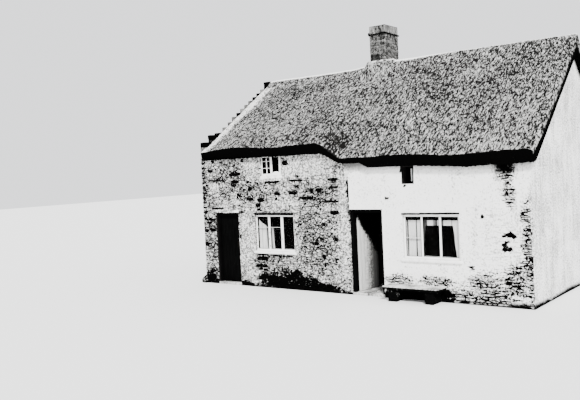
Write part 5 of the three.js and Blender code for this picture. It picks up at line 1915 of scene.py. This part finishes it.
def lay_floor():
    size = 60
    mesh = bpy.data.meshes.new("stage_floor")
    corners = [(-size, -size, 0), (size, -size, 0), (size, size, 0), (-size, size, 0)]
    mesh.from_pydata(corners, [], [[0, 1, 2, 3]])
    s = Shader("pale floor")
    mesh.materials.append(s.finish((0.8, 0.8, 0.79), 0.9))
    floor = bpy.data.objects.new("stage_floor", mesh)
    bpy.context.scene.collection.objects.link(floor)
    floor.location.z = -0.002


def set_lights():
    world = bpy.data.worlds.new("pale studio")
    bpy.context.scene.world = world
    world.use_nodes = True
    world.node_tree.nodes["Background"].inputs["Color"].default_value = (0.92, 0.93, 0.95, 1.0)
    world.node_tree.nodes["Background"].inputs["Strength"].default_value = 1.9
    key = bpy.data.lights.new("key", "SUN")
    key.energy = 8.0
    key.angle = math.radians(9)
    lamp = bpy.data.objects.new("key", key)
    bpy.context.scene.collection.objects.link(lamp)
    towards = Vector((0.55, -0.62, 0.78))
    lamp.rotation_mode = "QUATERNION"
    lamp.rotation_quaternion = towards.to_track_quat("Z", "Y")


def set_camera():
    yaw, pitch, roll = 0.66008, 0.04375, 0.0469
    forward = Vector((-math.sin(yaw) * math.cos(pitch), math.cos(yaw) * math.cos(pitch), -math.sin(pitch)))
    level = Vector((math.cos(yaw), math.sin(yaw), 0))
    up = level.cross(forward)
    right = level * math.cos(roll) - up * math.sin(roll)
    top = level * math.sin(roll) + up * math.cos(roll)
    data = bpy.data.cameras.new("camera")
    data.lens = sizes().lens
    data.sensor_width = 36
    data.clip_end = 200
    camera = bpy.data.objects.new("camera", data)
    bpy.context.scene.collection.objects.link(camera)
    place = Matrix((right, top, -forward)).transposed().to_4x4()
    place.translation = Vector((8.81103, -15.68718, 2.81455))
    camera.matrix_world = place
    bpy.context.scene.camera = camera


class COTTAGE_OT_stage(CottageOperator, bpy.types.Operator):
    """Set the pale floor, the soft lights and the camera"""
    bl_idname = "cottage.stage"
    bl_label = "Stage"

    def make(self):
        lay_floor()
        set_lights()
        set_camera()


OPERATORS = (
    COTTAGE_OT_stage, COTTAGE_OT_wall_beds, COTTAGE_OT_left_stones, COTTAGE_OT_gable_stones,
    COTTAGE_OT_limewash, COTTAGE_OT_parapet, COTTAGE_OT_thatch, COTTAGE_OT_ridge, COTTAGE_OT_chimney,
    COTTAGE_OT_timbers, COTTAGE_OT_doors, COTTAGE_OT_front_windows, COTTAGE_OT_back_windows,
    COTTAGE_OT_curtains, COTTAGE_OT_outside,
)


class COTTAGE_PT_panel(bpy.types.Panel):
    """Lists the cottage's operators and their settings"""
    bl_idname = "COTTAGE_PT_panel"
    bl_label = "Thatched cottage"
    bl_space_type = "VIEW_3D"
    bl_region_type = "UI"
    bl_category = "Cottage"

    def draw(self, context):
        for group in (context.scene.cottage_sizes, context.scene.cottage_finishes):
            for name in group.__annotations__:
                self.layout.prop(group, name)
        for operator in OPERATORS:
            self.layout.operator(operator.bl_idname)


CLASSES = (CottageFinishes, CottageSizes, *OPERATORS, COTTAGE_PT_panel)


def register():
    for cls in CLASSES:
        bpy.utils.register_class(cls)
    bpy.types.Scene.cottage_finishes = bpy.props.PointerProperty(type=CottageFinishes)
    bpy.types.Scene.cottage_sizes = bpy.props.PointerProperty(type=CottageSizes)


def unregister():
    del bpy.types.Scene.cottage_sizes
    del bpy.types.Scene.cottage_finishes
    for cls in reversed(CLASSES):
        bpy.utils.unregister_class(cls)


def main():
    register()
    for operator in OPERATORS:
        group, name = operator.bl_idname.split(".")
        getattr(getattr(bpy.ops, group), name)()


if __name__ == "__main__":
    main()
